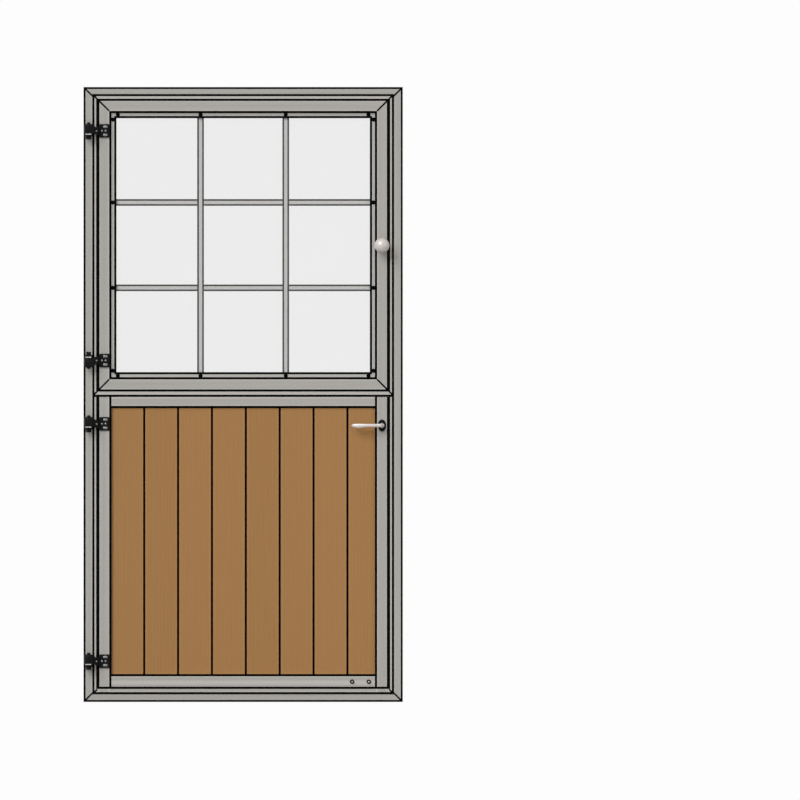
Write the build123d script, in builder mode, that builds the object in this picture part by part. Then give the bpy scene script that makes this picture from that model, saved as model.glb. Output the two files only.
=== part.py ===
"""A dutch stable door in its frame: a glazed upper leaf over a boarded lower leaf, each on two pintle hinges.

X runs across the door, Y from the face to the back and Z up. The origin is at the foot of the frame,
midway between its jambs and at the leaves' mid-depth. The hinges are on the left, seen from the front.
"""

import os

from build123d import *

os.makedirs("parts", exist_ok=True)

# Frame: four mitred hollow bars, each with an outer lip that covers the edge of the wall
frame_width = 1276.0
frame_height = 2458.0
frame_depth = 50.0
frame_lip_width = 22.0
frame_lip_thick = 3.0
frame_tube_width = 25.0
frame_wall = 2.5

# Leaves: hollow bars whose flange laps over the frame's face
leaf_depth = 46.0
leaf_proud = 5.0
leaf_wall = 3.0
flange_width = 20.0
flange_thick = 3.0
member_face = 48.0
side_gap = 12.0
head_gap = 5.0
sill_gap = 8.0
lower_leaf_top = 1221.5
meeting_gap = 4.5
stile_line_width = 8.0
rail_line_width = 4.0
line_depth = 1.2
line_inset = 19.0
edge_radius = 0.8

# Glazing of the upper leaf
bead_width = 20.0
bead_thick = 5.0
bead_recess = 10.0
bead_leg_width = 12.5
bead_round = 2.0
pane_thick = 6.0
pane_cover = 7.0
gasket_thick = 2.0
gasket_setback = 1.0
glazing_bar_width = 20.0
glazing_bar_depth = 16.0
glazing_bar_bevel = 4.0
glazing_bar_gap = 0.5
bars_each_way = 2
bead_screw_corner = 10.0
bead_screw_head_radius = 6.0
bead_screw_head_height = 3.0
bead_screw_radius = 1.9
bead_screw_tail = 6.0

# Boards of the lower leaf
lower_top_rail_height = 42.5
lower_bottom_rail_height = 52.0
board_face = 135.4
board_thick = 28.0
board_seat = 10.0
board_end_gap = 1.0
board_vee = 3.0
tongue_thick = 8.0
tongue_depth = 8.0
board_gap = 0.2

# Bottom rail's bolts
rail_bolt_insets = (135.6, 202.4)
rail_bolt_radius = 4.0
rail_bolt_head_radius = 6.5
rail_bolt_head_height = 8.0
rail_bolt_socket = 6.0
rail_bolt_socket_depth = 4.0
rail_washer_radius = 8.0
rail_washer_thick = 1.6
rail_nut_width = 13.0
rail_nut_height = 6.5

# Seals in the gap under the flanges, with a lip that shows past the flange's edge
seal_width = 9.5
seal_thick = 1.7
seal_lip = 4.0

# Corner cleats inside the mitres
frame_cleat_arm = 60.0
leaf_cleat_arm = 45.0
cleat_clearance = 0.2

# Hinges: a pin stands off the frame's face, in a bracket on the frame and an arm on the leaf
hinge_insets = (143.0, 139.0, 109.5, 128.0)
pin_inset = 20.4
pin_standoff = 33.0
pin_radius = 6.0
pin_clearance = 0.05
pin_thread_radius = 4.0
pin_thread_length = 5.0
pin_head_width = 19.0
pin_head_height = 12.6
dome_radius = 9.0
dome_rise = 8.0
knuckle_radius = 18.0
knuckle_foot = -10.6
knuckle_top = 26.6
lug_top = -15.4
lug_thick = 6.6
washer_radius = 13.5
bracket_start = 4.0
bracket_seal_gap = 0.5
bracket_top = 24.0
bracket_thick = 6.0
bracket_fillet = 4.0
bracket_screw_inset = 28.0
bracket_screw_rises = (-8.0, 15.0)
bracket_screw_radius = 2.5
bracket_screw_head = 5.0
bracket_screw_length = 18.0
arm_neck_inset = 47.0
arm_neck_half = 15.0
arm_end_inset = 64.0
arm_end_half = 17.0
arm_end_radius = 4.0
plate_start = 62.0
plate_end = 105.0
plate_half_height = 27.0
plate_thick = 6.0
plate_corner = 6.0
arm_screw_insets = (73.6, 88.0)
arm_screw_radius = 2.5
arm_screw_head_radius = 4.0
arm_screw_head_height = 2.5
arm_screw_length = 18.0
slot_screw_inset = 87.0
slot_screw_rise = 16.5
slot_washer_length = 18.0
slot_washer_height = 9.5
slot_washer_thick = 2.0
adjuster_inset = 51.6
adjuster_boss_radius = 6.5
adjuster_boss_front = 22.0
adjuster_radius = 3.5
adjuster_stand = 1.5

# Handles: knobs on the upper leaf, levers on the lower one
handle_inset = 83.0
knob_height = 1825.0
knob_radius = 30.0
knob_standoff = 41.5
knob_neck_radius = 9.0
knob_waist_radius = 8.0
neck_shoulder = 1.0
knob_rose_radius = 21.0
knob_rose_thick = 5.0
lever_drop = 116.5
lever_standoff = 36.0
lever_bend = 10.0
lever_reach = 122.0
lever_tip_out = 22.0
lever_half_depth = 5.5
lever_half_height = 7.5
lever_rose_width = 27.0
lever_rose_height = 46.0
lever_rose_thick = 6.0
rose_bevel = 1.5
rose_clearance = 0.06
running_gap = 0.3
spindle_width = 8.0
spindle_socket_gap = 0.1
spindle_end = 12.0
spindle_way_radius = 7.0

# Latches: a bevelled bolt in a case let into the stile, and a box keep let into the jamb
bolt_rise = 28.0
bolt_thick = 10.0
bolt_height = 18.0
bolt_tail = 26.0
bolt_throw = 12.0
bolt_bevel = 9.0
bolt_nose = 1.0
bolt_entry = 8.0
case_width = 39.0
case_thick = 30.0
case_foot = 22.0
case_head = 44.0
forend_thick = 2.0
forend_width = 22.0
forend_margin = 16.0
keep_plate_thick = 2.0
keep_plate_width = 26.0
keep_plate_margin = 24.0
keep_wall = 1.5
keep_slack = 1.0
keep_end_gap = 2.0
keep_screw_rise = 26.0
keep_screw_radius = 2.0
keep_screw_head = 3.8
keep_screw_length = 12.0
latch_fit = 0.3

# Wall fixings through the jambs
fixing_radius = 4.5
fixing_spacing = 600.0
fixing_centres = (600.0, 1800.0)

screw_clearance = 0.1

# Places that follow from the sizes above
frame_face = frame_lip_width + frame_tube_width
frame_left = -frame_width / 2
frame_right = frame_width / 2
leaf_front = -leaf_depth / 2
leaf_back = leaf_depth / 2
frame_front = leaf_front + leaf_proud
frame_back = frame_front + frame_depth
flange_back = leaf_front + flange_thick

flange_side = frame_face + side_gap - flange_width
flange_left = frame_left + flange_side
flange_right = frame_right - flange_side
body_left = flange_left + flange_width
body_right = flange_right - flange_width
inner_left = body_left + member_face
inner_right = body_right - member_face
board_count = round((inner_right - inner_left) / board_face)
upper_flange_top = frame_height - frame_face - head_gap + flange_width
upper_flange_foot = lower_leaf_top + meeting_gap
lower_flange_foot = frame_face + sill_gap - flange_width
lower_body_foot = lower_flange_foot + flange_width
lower_rail_top = lower_body_foot + lower_bottom_rail_height
lower_panel_top = lower_leaf_top - lower_top_rail_height

bead_front = leaf_front + bead_recess
pane_front = bead_front + bead_thick
pane_back = pane_front + pane_thick
ledge_front = pane_back + gasket_thick
rebate_inset = flange_width + member_face
rebate_left = flange_left + rebate_inset
rebate_right = flange_right - rebate_inset
rebate_foot = upper_flange_foot + rebate_inset
rebate_top = upper_flange_top - rebate_inset
sight_left = rebate_left + bead_width
sight_right = rebate_right - bead_width
sight_foot = rebate_foot + bead_width
sight_top = rebate_top - bead_width

pin_x = frame_left + pin_inset
pin_y = frame_front - pin_standoff
bracket_end = flange_side - seal_lip - bracket_seal_gap
handle_x = frame_right - handle_inset
lever_height = lower_leaf_top - lever_drop
bolt_tip_x = frame_right - frame_face + bolt_entry
hinge_heights = (
    upper_flange_top - hinge_insets[0],
    upper_flange_foot + hinge_insets[1],
    lower_leaf_top - hinge_insets[2],
    lower_flange_foot + hinge_insets[3],
)
inverted_hinge = 2


def facing_front(y):
    """The upright plane at a depth, with its normal towards the front."""
    return Plane.XZ.offset(-y)


def save(part, name):
    part.label = name
    export_step(part, "parts/" + name + ".step")


def bar_starts(left, right, foot, top):
    """Start plane and length of the bars round a rectangle: x points inwards and z along the bar."""
    return {
        "left": (Plane(origin=(left, 0, foot), x_dir=(1, 0, 0), z_dir=(0, 0, 1)), top - foot),
        "top": (Plane(origin=(left, 0, top), x_dir=(0, 0, -1), z_dir=(1, 0, 0)), right - left),
        "right": (Plane(origin=(right, 0, top), x_dir=(-1, 0, 0), z_dir=(0, 0, -1)), top - foot),
        "foot": (Plane(origin=(right, 0, foot), x_dir=(0, 0, 1), z_dir=(-1, 0, 0)), right - left),
    }


def mitred_bar(section, start, length):
    """A bar of a section whose x is the way inwards, cut at 45 degrees at both ends."""
    far_end = start.origin + start.z_dir * length
    with BuildPart() as bar:
        with BuildSketch(start):
            add(section)
        extrude(amount=length)
        split(bisect_by=Plane(origin=start.origin, z_dir=start.z_dir - start.x_dir), keep=Keep.TOP)
        split(bisect_by=Plane(origin=far_end, z_dir=-start.z_dir - start.x_dir), keep=Keep.TOP)
    return bar.part


def drilled(part, points, y, radius, depth):
    """A part with round holes of a depth, drilled from the front at points of an upright plane."""
    with BuildPart() as result:
        add(part)
        with BuildSketch(facing_front(y)):
            with Locations(*points):
                Circle(radius)
        extrude(amount=-depth, mode=Mode.SUBTRACT)
    return result.part


def front_screws(points, y, radius, length, head_radius, head_height):
    """Cheese-headed screws on a face at depth y, one at each point."""
    with BuildPart() as screws:
        with BuildSketch(facing_front(y)):
            with Locations(*points):
                Circle(radius)
        extrude(amount=-length)
        with BuildSketch(facing_front(y)):
            with Locations(*points):
                Circle(head_radius)
        extrude(amount=head_height)
    return screws.part


def corner_cleats(outline, chamber_start, chamber_end, arm, front, back):
    """Four L-shaped cleats that fill the mitred chambers at the corners of an outline."""
    left, right, foot, top = outline
    near = chamber_start + cleat_clearance
    far = chamber_end - cleat_clearance
    with BuildPart() as cleats:
        with BuildSketch(facing_front(back - cleat_clearance)):
            for corner_x, turn_x in ((left, 1), (right, -1)):
                for corner_z, turn_z in ((foot, 1), (top, -1)):
                    with BuildLine():
                        Polyline(
                            (corner_x + turn_x * near, corner_z + turn_z * near),
                            (corner_x + turn_x * (far + arm), corner_z + turn_z * near),
                            (corner_x + turn_x * (far + arm), corner_z + turn_z * far),
                            (corner_x + turn_x * far, corner_z + turn_z * far),
                            (corner_x + turn_x * far, corner_z + turn_z * (far + arm)),
                            (corner_x + turn_x * near, corner_z + turn_z * (far + arm)),
                            close=True,
                        )
                    make_face()
        extrude(amount=back - front - 2 * cleat_clearance)
    return cleats.part


def frame_section():
    """Lip and tube of the frame's bars, with x from the outer edge inwards."""
    with BuildSketch() as section:
        with BuildLine():
            Polyline(
                (0, frame_front),
                (frame_face, frame_front),
                (frame_face, frame_back),
                (frame_lip_width, frame_back),
                (frame_lip_width, frame_front + frame_lip_thick),
                (0, frame_front + frame_lip_thick),
                close=True,
            )
        make_face()
        fillet(section.vertices().group_by(Axis.Y)[0], radius=edge_radius)
        with Locations((frame_lip_width + frame_tube_width / 2, frame_front + frame_depth / 2)):
            Rectangle(
                frame_tube_width - 2 * frame_wall,
                frame_depth - 2 * frame_wall,
                mode=Mode.SUBTRACT,
            )
    return section.sketch


def glazed_section(line_width):
    """Flange, tube and glazing ledge of the upper leaf's bars, with x from the flange's edge inwards."""
    body_end = flange_width + member_face
    ledge_end = body_end + bead_width
    ledge_depth = leaf_back - ledge_front
    with BuildSketch() as section:
        with BuildLine():
            Polyline(
                (0, leaf_front),
                (body_end, leaf_front),
                (body_end, ledge_front),
                (ledge_end, ledge_front),
                (ledge_end, leaf_back),
                (flange_width, leaf_back),
                (flange_width, flange_back),
                (0, flange_back),
                close=True,
            )
        make_face()
        fillet(section.vertices().group_by(Axis.Y)[0], radius=edge_radius)
        with Locations((line_inset, leaf_front + line_depth / 2)):
            Rectangle(line_width, line_depth, mode=Mode.SUBTRACT)
        with Locations((flange_width + member_face / 2, 0)):
            Rectangle(member_face - 2 * leaf_wall, leaf_depth - 2 * leaf_wall, mode=Mode.SUBTRACT)
        with Locations((body_end + (bead_width - leaf_wall) / 2, ledge_front + ledge_depth / 2)):
            Rectangle(bead_width - leaf_wall, ledge_depth - 2 * leaf_wall, mode=Mode.SUBTRACT)
    return section.sketch


def boarded_section(face_width, line_width):
    """Tube of the lower leaf's bars with its board groove and, where a line is given, its flange."""
    slot_half = board_thick / 2 + board_gap
    with BuildSketch() as section:
        with BuildLine():
            Polyline(
                (0, leaf_front),
                (face_width, leaf_front),
                (face_width, -slot_half),
                (face_width - board_seat, -slot_half),
                (face_width - board_seat, slot_half),
                (face_width, slot_half),
                (face_width, leaf_back),
                (0, leaf_back),
                close=True,
            )
        make_face()
        offset(amount=-leaf_wall, kind=Kind.INTERSECTION, mode=Mode.SUBTRACT)
        if line_width:
            with Locations((-flange_width / 2, leaf_front + flange_thick / 2)):
                Rectangle(flange_width, flange_thick)
            with Locations((line_inset - flange_width, leaf_front + line_depth / 2)):
                Rectangle(line_width, line_depth, mode=Mode.SUBTRACT)
    return section.sketch


def straight_bar(section, start, length):
    """A bar of a section whose x is the way inwards, cut square at both ends."""
    with BuildPart() as bar:
        with BuildSketch(start):
            add(section)
        extrude(amount=length)
    return bar.part


def jamb(side):
    """A side bar of the frame with its wall fixing holes, which the leaf's edge hides when shut."""
    start, length = frame_starts[side]
    heights = [centre + turn * fixing_spacing / 2 for centre in fixing_centres for turn in (-1, 1)]
    edge_x = start.origin.X
    tube_y = frame_front + frame_depth / 2
    plain_bar = mitred_bar(frame_bar, start, length)
    with BuildPart() as bar:
        add(plain_bar)
        with BuildSketch(Plane.YZ.offset(edge_x)):
            with Locations(*[(tube_y, height) for height in heights]):
                Circle(fixing_radius)
        extrude(amount=frame_face * start.x_dir.X, mode=Mode.SUBTRACT)
    return bar.part


def keep_opening(height, grow):
    """The room that a keep's box takes up behind the jamb's face, grown by a clearance."""
    inner_thick = bolt_thick + 2 * keep_slack
    inner_height = bolt_height + 2 * keep_slack
    depth = bolt_entry + keep_end_gap + keep_wall
    face_x = frame_right - frame_face
    with BuildPart() as room:
        with BuildSketch(Plane.YZ.offset(face_x)):
            with Locations((0, height)):
                Rectangle(inner_thick + 2 * keep_wall + grow, inner_height + 2 * keep_wall + grow)
        extrude(amount=depth)
    return room.part


def keep_screw_points(height):
    return [(0, height + keep_screw_rise), (0, height - keep_screw_rise)]


def keep(height):
    """A box keep: a plate on the jamb's face, open to the bolt, with a box behind it."""
    face_x = frame_right - frame_face
    slot_thick = bolt_thick + 2 * keep_slack
    slot_height = bolt_height + 2 * keep_slack
    box = keep_opening(height, 0)
    with BuildPart() as piece:
        add(box)
        with BuildSketch(Plane.YZ.offset(face_x)):
            with Locations((0, height)):
                RectangleRounded(
                    keep_plate_width,
                    slot_height + 2 * keep_plate_margin,
                    keep_plate_width / 2 - keep_wall,
                )
        extrude(amount=-keep_plate_thick)
        with BuildSketch(Plane.YZ.offset(face_x - keep_plate_thick)):
            with Locations((0, height)):
                Rectangle(slot_thick, slot_height)
        extrude(amount=keep_plate_thick + bolt_entry + keep_end_gap, mode=Mode.SUBTRACT)
        with BuildSketch(Plane.YZ.offset(face_x)):
            with Locations(*keep_screw_points(height)):
                Circle(keep_screw_radius + screw_clearance)
        extrude(amount=-keep_plate_thick, mode=Mode.SUBTRACT)
    return piece.part


def keep_screws(heights):
    """Flat-headed screws that hold the keeps to the latch jamb."""
    face_x = frame_right - frame_face - keep_plate_thick
    points = [point for height in heights for point in keep_screw_points(height)]
    with BuildPart() as screws:
        with BuildSketch(Plane.YZ.offset(face_x)):
            with Locations(*points):
                Circle(keep_screw_radius)
        extrude(amount=keep_screw_length)
        with BuildSketch(Plane.YZ.offset(face_x)):
            with Locations(*points):
                Circle(keep_screw_head)
        extrude(amount=-keep_screw_radius)
        chamfer(screws.edges().group_by(Axis.X)[0], length=keep_screw_radius / 2)
    return screws.part


def latch_jamb(heights):
    """The latch side's jamb, open for the keeps' boxes and drilled for their screws."""
    face_x = frame_right - frame_face
    plain_jamb = jamb("right")
    openings = [keep_opening(height, 2 * latch_fit) for height in heights]
    with BuildPart() as bar:
        add(plain_jamb)
        add(openings, mode=Mode.SUBTRACT)
        with BuildSketch(Plane.YZ.offset(face_x)):
            with Locations(*[point for height in heights for point in keep_screw_points(height)]):
                Circle(keep_screw_radius + screw_clearance)
        extrude(amount=frame_wall, mode=Mode.SUBTRACT)
    return bar.part


def hinge_points(insets, rises):
    """Points on the face, as insets from the frame's edge and rises from the hinge's middle."""
    return [(frame_left + inset, rise) for inset in insets for rise in rises]


def hinge_bracket():
    """Angle bracket of a hinge about z = 0: a plate on the frame and a lug under the knuckle."""
    face_y = frame_front - bracket_thick
    foot = lug_top - lug_thick
    width = bracket_end - bracket_start
    with BuildPart() as bracket:
        with BuildSketch(facing_front(frame_front)):
            with Locations((frame_left + bracket_start, foot)):
                Rectangle(width, bracket_top - foot, align=(Align.MIN, Align.MIN))
        extrude(amount=bracket_thick)
        with BuildSketch(Plane.XY.offset(foot)):
            with Locations((frame_left + bracket_start, face_y)):
                Rectangle(width, face_y - pin_y, align=(Align.MIN, Align.MAX))
            with Locations((pin_x, pin_y)):
                Circle(width / 2)
        extrude(amount=lug_thick)
        inner_edge = bracket.edges().filter_by(Axis.X).sort_by_distance((pin_x, face_y, lug_top))[0]
        fillet(inner_edge, radius=bracket_fillet)
        with BuildSketch(Plane.XY.offset(foot)):
            with Locations((pin_x, pin_y)):
                Circle(pin_radius + pin_clearance)
        extrude(amount=lug_thick, mode=Mode.SUBTRACT)
        with Locations(*bracket_screw_places()):
            CounterSinkHole(
                radius=bracket_screw_radius + screw_clearance,
                counter_sink_radius=bracket_screw_head + screw_clearance,
                depth=bracket_thick,
            )
    return bracket.part


def bracket_screw_places():
    """Places of the bracket's screws on its face, about z = 0."""
    face = facing_front(frame_front - bracket_thick)
    points = hinge_points((bracket_screw_inset,), bracket_screw_rises)
    return [face.location * Location((x, z, 0)) for x, z in points]


def bracket_screws():
    """Countersunk screws of one bracket, through the frame's face into its tube."""
    face_y = frame_front - bracket_thick
    points = hinge_points((bracket_screw_inset,), bracket_screw_rises)
    with BuildPart() as screws:
        for x, z in points:
            with BuildSketch(Plane(origin=(x, face_y, z), x_dir=(1, 0, 0), z_dir=(0, 0, 1))):
                with BuildLine():
                    Polyline(
                        (0, 0),
                        (bracket_screw_head, 0),
                        (bracket_screw_radius, bracket_screw_head - bracket_screw_radius),
                        (bracket_screw_radius, bracket_screw_length),
                        (0, bracket_screw_length),
                        close=True,
                    )
                make_face()
            revolve(axis=Axis((x, face_y, z), (0, 1, 0)))
    return screws.part


def hinge_washer():
    """Thrust washer between the lug and the knuckle, about z = 0."""
    with BuildPart() as washer:
        with BuildSketch(Plane.XY.offset(lug_top)):
            with Locations((pin_x, pin_y)):
                Circle(washer_radius)
                Circle(pin_radius + pin_clearance, mode=Mode.SUBTRACT)
        extrude(amount=knuckle_foot - running_gap - lug_top)
    return washer.part


def hinge_pin():
    """Hexagon-headed shoulder pin and the domed nut on its end, about z = 0."""
    foot = lug_top - lug_thick
    nut_foot = knuckle_top + running_gap
    shoulder = nut_foot - pin_clearance
    dome_height = dome_rise - running_gap
    with BuildPart() as pin:
        with BuildSketch(Plane.XY.offset(foot)):
            with Locations((pin_x, pin_y)):
                RegularPolygon(pin_head_width / 2, 6, major_radius=False)
        extrude(amount=-pin_head_height)
        with BuildSketch(Plane.XY.offset(foot)):
            with Locations((pin_x, pin_y)):
                Circle(pin_radius)
        extrude(amount=shoulder - foot)
        with BuildSketch(Plane.XY.offset(shoulder)):
            with Locations((pin_x, pin_y)):
                Circle(pin_thread_radius)
        extrude(amount=pin_thread_length)
    bore = pin_thread_radius + pin_clearance
    sphere_radius = (dome_radius**2 + dome_height**2) / (2 * dome_height)
    with BuildPart() as nut:
        with BuildSketch(Plane.XZ):
            with BuildLine():
                Line((bore, 0), (dome_radius, 0))
                RadiusArc((dome_radius, 0), (0, dome_height), -sphere_radius)
                Polyline((0, dome_height), (0, pin_thread_length), (bore, pin_thread_length), (bore, 0))
            make_face()
        revolve(axis=Axis.Z)
    with BuildPart() as pair:
        add(pin)
        with Locations((pin_x, pin_y, nut_foot)):
            add(nut)
    return pair.part


def hinge_arm():
    """Cast arm about z = 0: a knuckle, a tapering neck and a plate on the leaf's stile."""
    front_y = pin_y - knuckle_radius
    end_x = frame_left + arm_end_inset
    with BuildPart() as arm:
        with BuildSketch(Plane.XY.offset(-arm_end_half)):
            with Locations((pin_x, pin_y)):
                Circle(knuckle_radius)
            with Locations((end_x, leaf_front - arm_end_radius)):
                Circle(arm_end_radius)
            make_hull()
        extrude(amount=arm_end_half + knuckle_top)
        with BuildSketch(facing_front(leaf_front)):
            with BuildLine():
                Polyline(
                    (pin_x - knuckle_radius, knuckle_foot),
                    (pin_x + knuckle_radius, knuckle_foot),
                    (frame_left + arm_neck_inset, -arm_neck_half),
                    (end_x + arm_end_radius, -arm_end_half),
                    (end_x + arm_end_radius, arm_end_half),
                    (frame_left + arm_neck_inset, arm_neck_half),
                    (pin_x + knuckle_radius, knuckle_top),
                    (pin_x - knuckle_radius, knuckle_top),
                    close=True,
                )
            make_face()
        extrude(amount=leaf_front - front_y, mode=Mode.INTERSECT)
        with BuildSketch(facing_front(leaf_front)):
            with Locations((frame_left + (plate_start + plate_end) / 2, 0)):
                RectangleRounded(plate_end - plate_start, 2 * plate_half_height, plate_corner)
        extrude(amount=plate_thick)
        with BuildSketch(facing_front(leaf_front - plate_thick)):
            with Locations((frame_left + adjuster_inset, 0)):
                Circle(adjuster_boss_radius)
        extrude(amount=adjuster_boss_front - plate_thick)
        with BuildSketch(facing_front(leaf_front - adjuster_boss_front)):
            with Locations((frame_left + adjuster_inset, 0)):
                Circle(adjuster_boss_radius)
        extrude(amount=knuckle_radius, mode=Mode.SUBTRACT)
        with BuildSketch(Plane.XY.offset(knuckle_foot)):
            with Locations((pin_x, pin_y)):
                Circle(pin_radius + pin_clearance)
        extrude(amount=knuckle_top - knuckle_foot, mode=Mode.SUBTRACT)
        with BuildSketch(facing_front(leaf_front)):
            with Locations(*arm_screw_points()):
                Circle(arm_screw_radius + screw_clearance)
        extrude(amount=knuckle_radius, mode=Mode.SUBTRACT)
        with BuildSketch(facing_front(leaf_front - adjuster_boss_front)):
            with Locations((frame_left + adjuster_inset, 0)):
                Circle(adjuster_radius + screw_clearance)
        extrude(amount=-adjuster_boss_radius, mode=Mode.SUBTRACT)
    return arm.part


def arm_screw_points():
    """Points of an arm's face screws about z = 0: two on its axis and two in its corners."""
    corners = hinge_points((slot_screw_inset,), (slot_screw_rise, -slot_screw_rise))
    return hinge_points(arm_screw_insets, (0,)) + corners


def arm_screws():
    """Screws of one hinge arm about z = 0, the corner ones on oval washers, and its adjuster."""
    face_y = leaf_front - plate_thick
    axis_points = hinge_points(arm_screw_insets, (0,))
    corner_points = hinge_points((slot_screw_inset,), (slot_screw_rise, -slot_screw_rise))
    screw_sizes = (arm_screw_radius, arm_screw_length, arm_screw_head_radius, arm_screw_head_height)
    axis_screws = front_screws(axis_points, face_y, *screw_sizes)
    corner_screws = front_screws(corner_points, face_y - slot_washer_thick, *screw_sizes)
    with BuildPart() as screws:
        add(axis_screws)
        with BuildSketch(facing_front(face_y)):
            with Locations(*corner_points):
                SlotOverall(slot_washer_length, slot_washer_height)
        extrude(amount=slot_washer_thick)
        add(corner_screws)
        with BuildSketch(facing_front(leaf_front - adjuster_boss_front + adjuster_boss_radius)):
            with Locations((frame_left + adjuster_inset, 0)):
                Circle(adjuster_radius)
        extrude(amount=adjuster_boss_radius + adjuster_stand)
    return screws.part


def at_hinges(piece, hinges):
    """Copies of a piece drawn about z = 0 at the numbered hinges, turned over at the inverted one."""
    with BuildPart() as copies:
        for hinge in hinges:
            turned = mirror(piece, about=Plane.XY, mode=Mode.PRIVATE) if hinge == inverted_hinge else piece
            with Locations((0, 0, hinge_heights[hinge - 1])):
                add(turned)
    return copies.part


def stile_for_hinges(bar, hinges):
    """A hinge stile drilled for its arms' screws."""
    points = [(x, z + hinge_heights[hinge - 1]) for hinge in hinges for x, z in arm_screw_points()]
    return drilled(bar, points, leaf_front, arm_screw_radius + screw_clearance, leaf_wall)


def latch_stile(bar, spindle_height):
    """A latch stile open for its latch case and its handles' spindle."""
    room = latch_case_body(spindle_height, latch_fit)
    with BuildPart() as stile:
        add(bar)
        add(room, mode=Mode.SUBTRACT)
        with BuildSketch(facing_front(leaf_back)):
            with Locations((handle_x, spindle_height)):
                Circle(spindle_way_radius)
        extrude(amount=leaf_depth, mode=Mode.SUBTRACT)
    return stile.part


def latch_case_body(spindle_height, grow):
    """The block of a latch case from the leaf's edge inwards, grown by a clearance."""
    height = case_foot + case_head
    with BuildPart() as body:
        with BuildSketch(Plane.YZ.offset(body_right)):
            with Locations((0, spindle_height + (case_head - case_foot) / 2)):
                Rectangle(case_thick + 2 * grow, height + 2 * grow)
        extrude(amount=-case_width - grow)
    return body.part


def latch_case(spindle_height):
    """A latch case with its forend on the leaf's edge, the bolt's way and the spindle's hole."""
    bolt_height_mid = spindle_height + bolt_rise
    body = latch_case_body(spindle_height, 0)
    with BuildPart() as case:
        add(body)
        with BuildSketch(Plane.YZ.offset(body_right)):
            with Locations((0, spindle_height + (case_head - case_foot) / 2)):
                RectangleRounded(
                    forend_width,
                    case_foot + case_head + 2 * forend_margin,
                    forend_width / 2 - forend_thick,
                )
        extrude(amount=forend_thick)
        with BuildSketch(Plane.YZ.offset(body_right + forend_thick)):
            with Locations((0, bolt_height_mid)):
                Rectangle(bolt_thick + 2 * latch_fit, bolt_height + 2 * latch_fit)
        extrude(amount=-forend_thick - bolt_tail - bolt_throw - running_gap, mode=Mode.SUBTRACT)
        with BuildSketch(facing_front(case_thick / 2)):
            with Locations((handle_x, spindle_height)):
                Circle(spindle_way_radius)
        extrude(amount=case_thick, mode=Mode.SUBTRACT)
    return case.part


def latch_bolt(spindle_height):
    """A latch bolt shot into its keep, bevelled on the side that meets the keep as the leaf shuts."""
    tail_x = body_right - bolt_tail
    half = bolt_thick / 2
    with BuildPart() as bolt:
        with BuildSketch(Plane.XY.offset(spindle_height + bolt_rise - bolt_height / 2)):
            with BuildLine():
                Polyline(
                    (tail_x, -half),
                    (bolt_tip_x, -half),
                    (bolt_tip_x, bolt_nose - half),
                    (bolt_tip_x - bolt_bevel, half),
                    (tail_x, half),
                    close=True,
                )
            make_face()
        extrude(amount=bolt_height)
    return bolt.part


def both_faces(piece):
    """A piece on the front face and its mirror image on the back."""
    with BuildPart() as pair:
        add(piece)
        mirror(about=Plane.XZ)
    return pair.part


def knob_rose():
    """Round rose of a knob, with the bore its neck turns in."""
    with BuildPart() as rose:
        with BuildSketch(facing_front(leaf_front)):
            with Locations((handle_x, knob_height)):
                Circle(knob_rose_radius)
        extrude(amount=knob_rose_thick)
        chamfer(rose.edges().group_by(Axis.Y)[0], length=rose_bevel)
        with BuildSketch(facing_front(leaf_front)):
            with Locations((handle_x, knob_height)):
                Circle(knob_neck_radius + rose_clearance)
        extrude(amount=knob_rose_thick, mode=Mode.SUBTRACT)
    return rose.part


def knob():
    """Turned knob in front of the upper leaf: a ball on a waisted neck."""
    neck_start = running_gap
    neck_end = knob_rose_thick + neck_shoulder
    ball_foot = knob_standoff - (knob_radius**2 - knob_waist_radius**2) ** 0.5
    profile_plane = Plane(origin=(handle_x, leaf_front, knob_height), x_dir=(1, 0, 0), z_dir=(0, 0, -1))
    with BuildPart() as piece:
        with BuildSketch(profile_plane):
            with BuildLine():
                Polyline(
                    (0, neck_start),
                    (knob_neck_radius, neck_start),
                    (knob_neck_radius, neck_end),
                    (knob_waist_radius, neck_end + neck_shoulder),
                    (knob_waist_radius, ball_foot),
                )
                ThreePointArc(
                    (knob_waist_radius, ball_foot),
                    (knob_radius, knob_standoff),
                    (0, knob_standoff + knob_radius),
                )
                Line((0, knob_standoff + knob_radius), (0, neck_start))
            make_face()
        revolve(axis=Axis((handle_x, leaf_front, knob_height), (0, 1, 0)))
    return piece.part


def spindle(height, standoff):
    """Square spindle through the stile, from one handle's neck to the other's."""
    reach = leaf_depth / 2 + standoff
    with BuildPart() as bar:
        with BuildSketch(facing_front(reach)):
            with Locations((handle_x, height)):
                Rectangle(spindle_width, spindle_width)
        extrude(amount=2 * reach)
    return bar.part


def socketed(handle, height):
    """A front handle with the square socket that slides on the spindle."""
    side = spindle_width + 2 * spindle_socket_gap
    with BuildPart() as piece:
        add(handle)
        with BuildSketch(facing_front(leaf_front)):
            with Locations((handle_x, height)):
                Rectangle(side, side)
        extrude(amount=spindle_end + spindle_socket_gap, mode=Mode.SUBTRACT)
    return piece.part


def with_spindle(handle, height):
    """A back handle, mirrored from the front one, with the spindle fixed in it."""
    bar = spindle(height, spindle_end)
    with BuildPart() as piece:
        mirror(handle, about=Plane.XZ)
        add(bar)
    return piece.part


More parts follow.
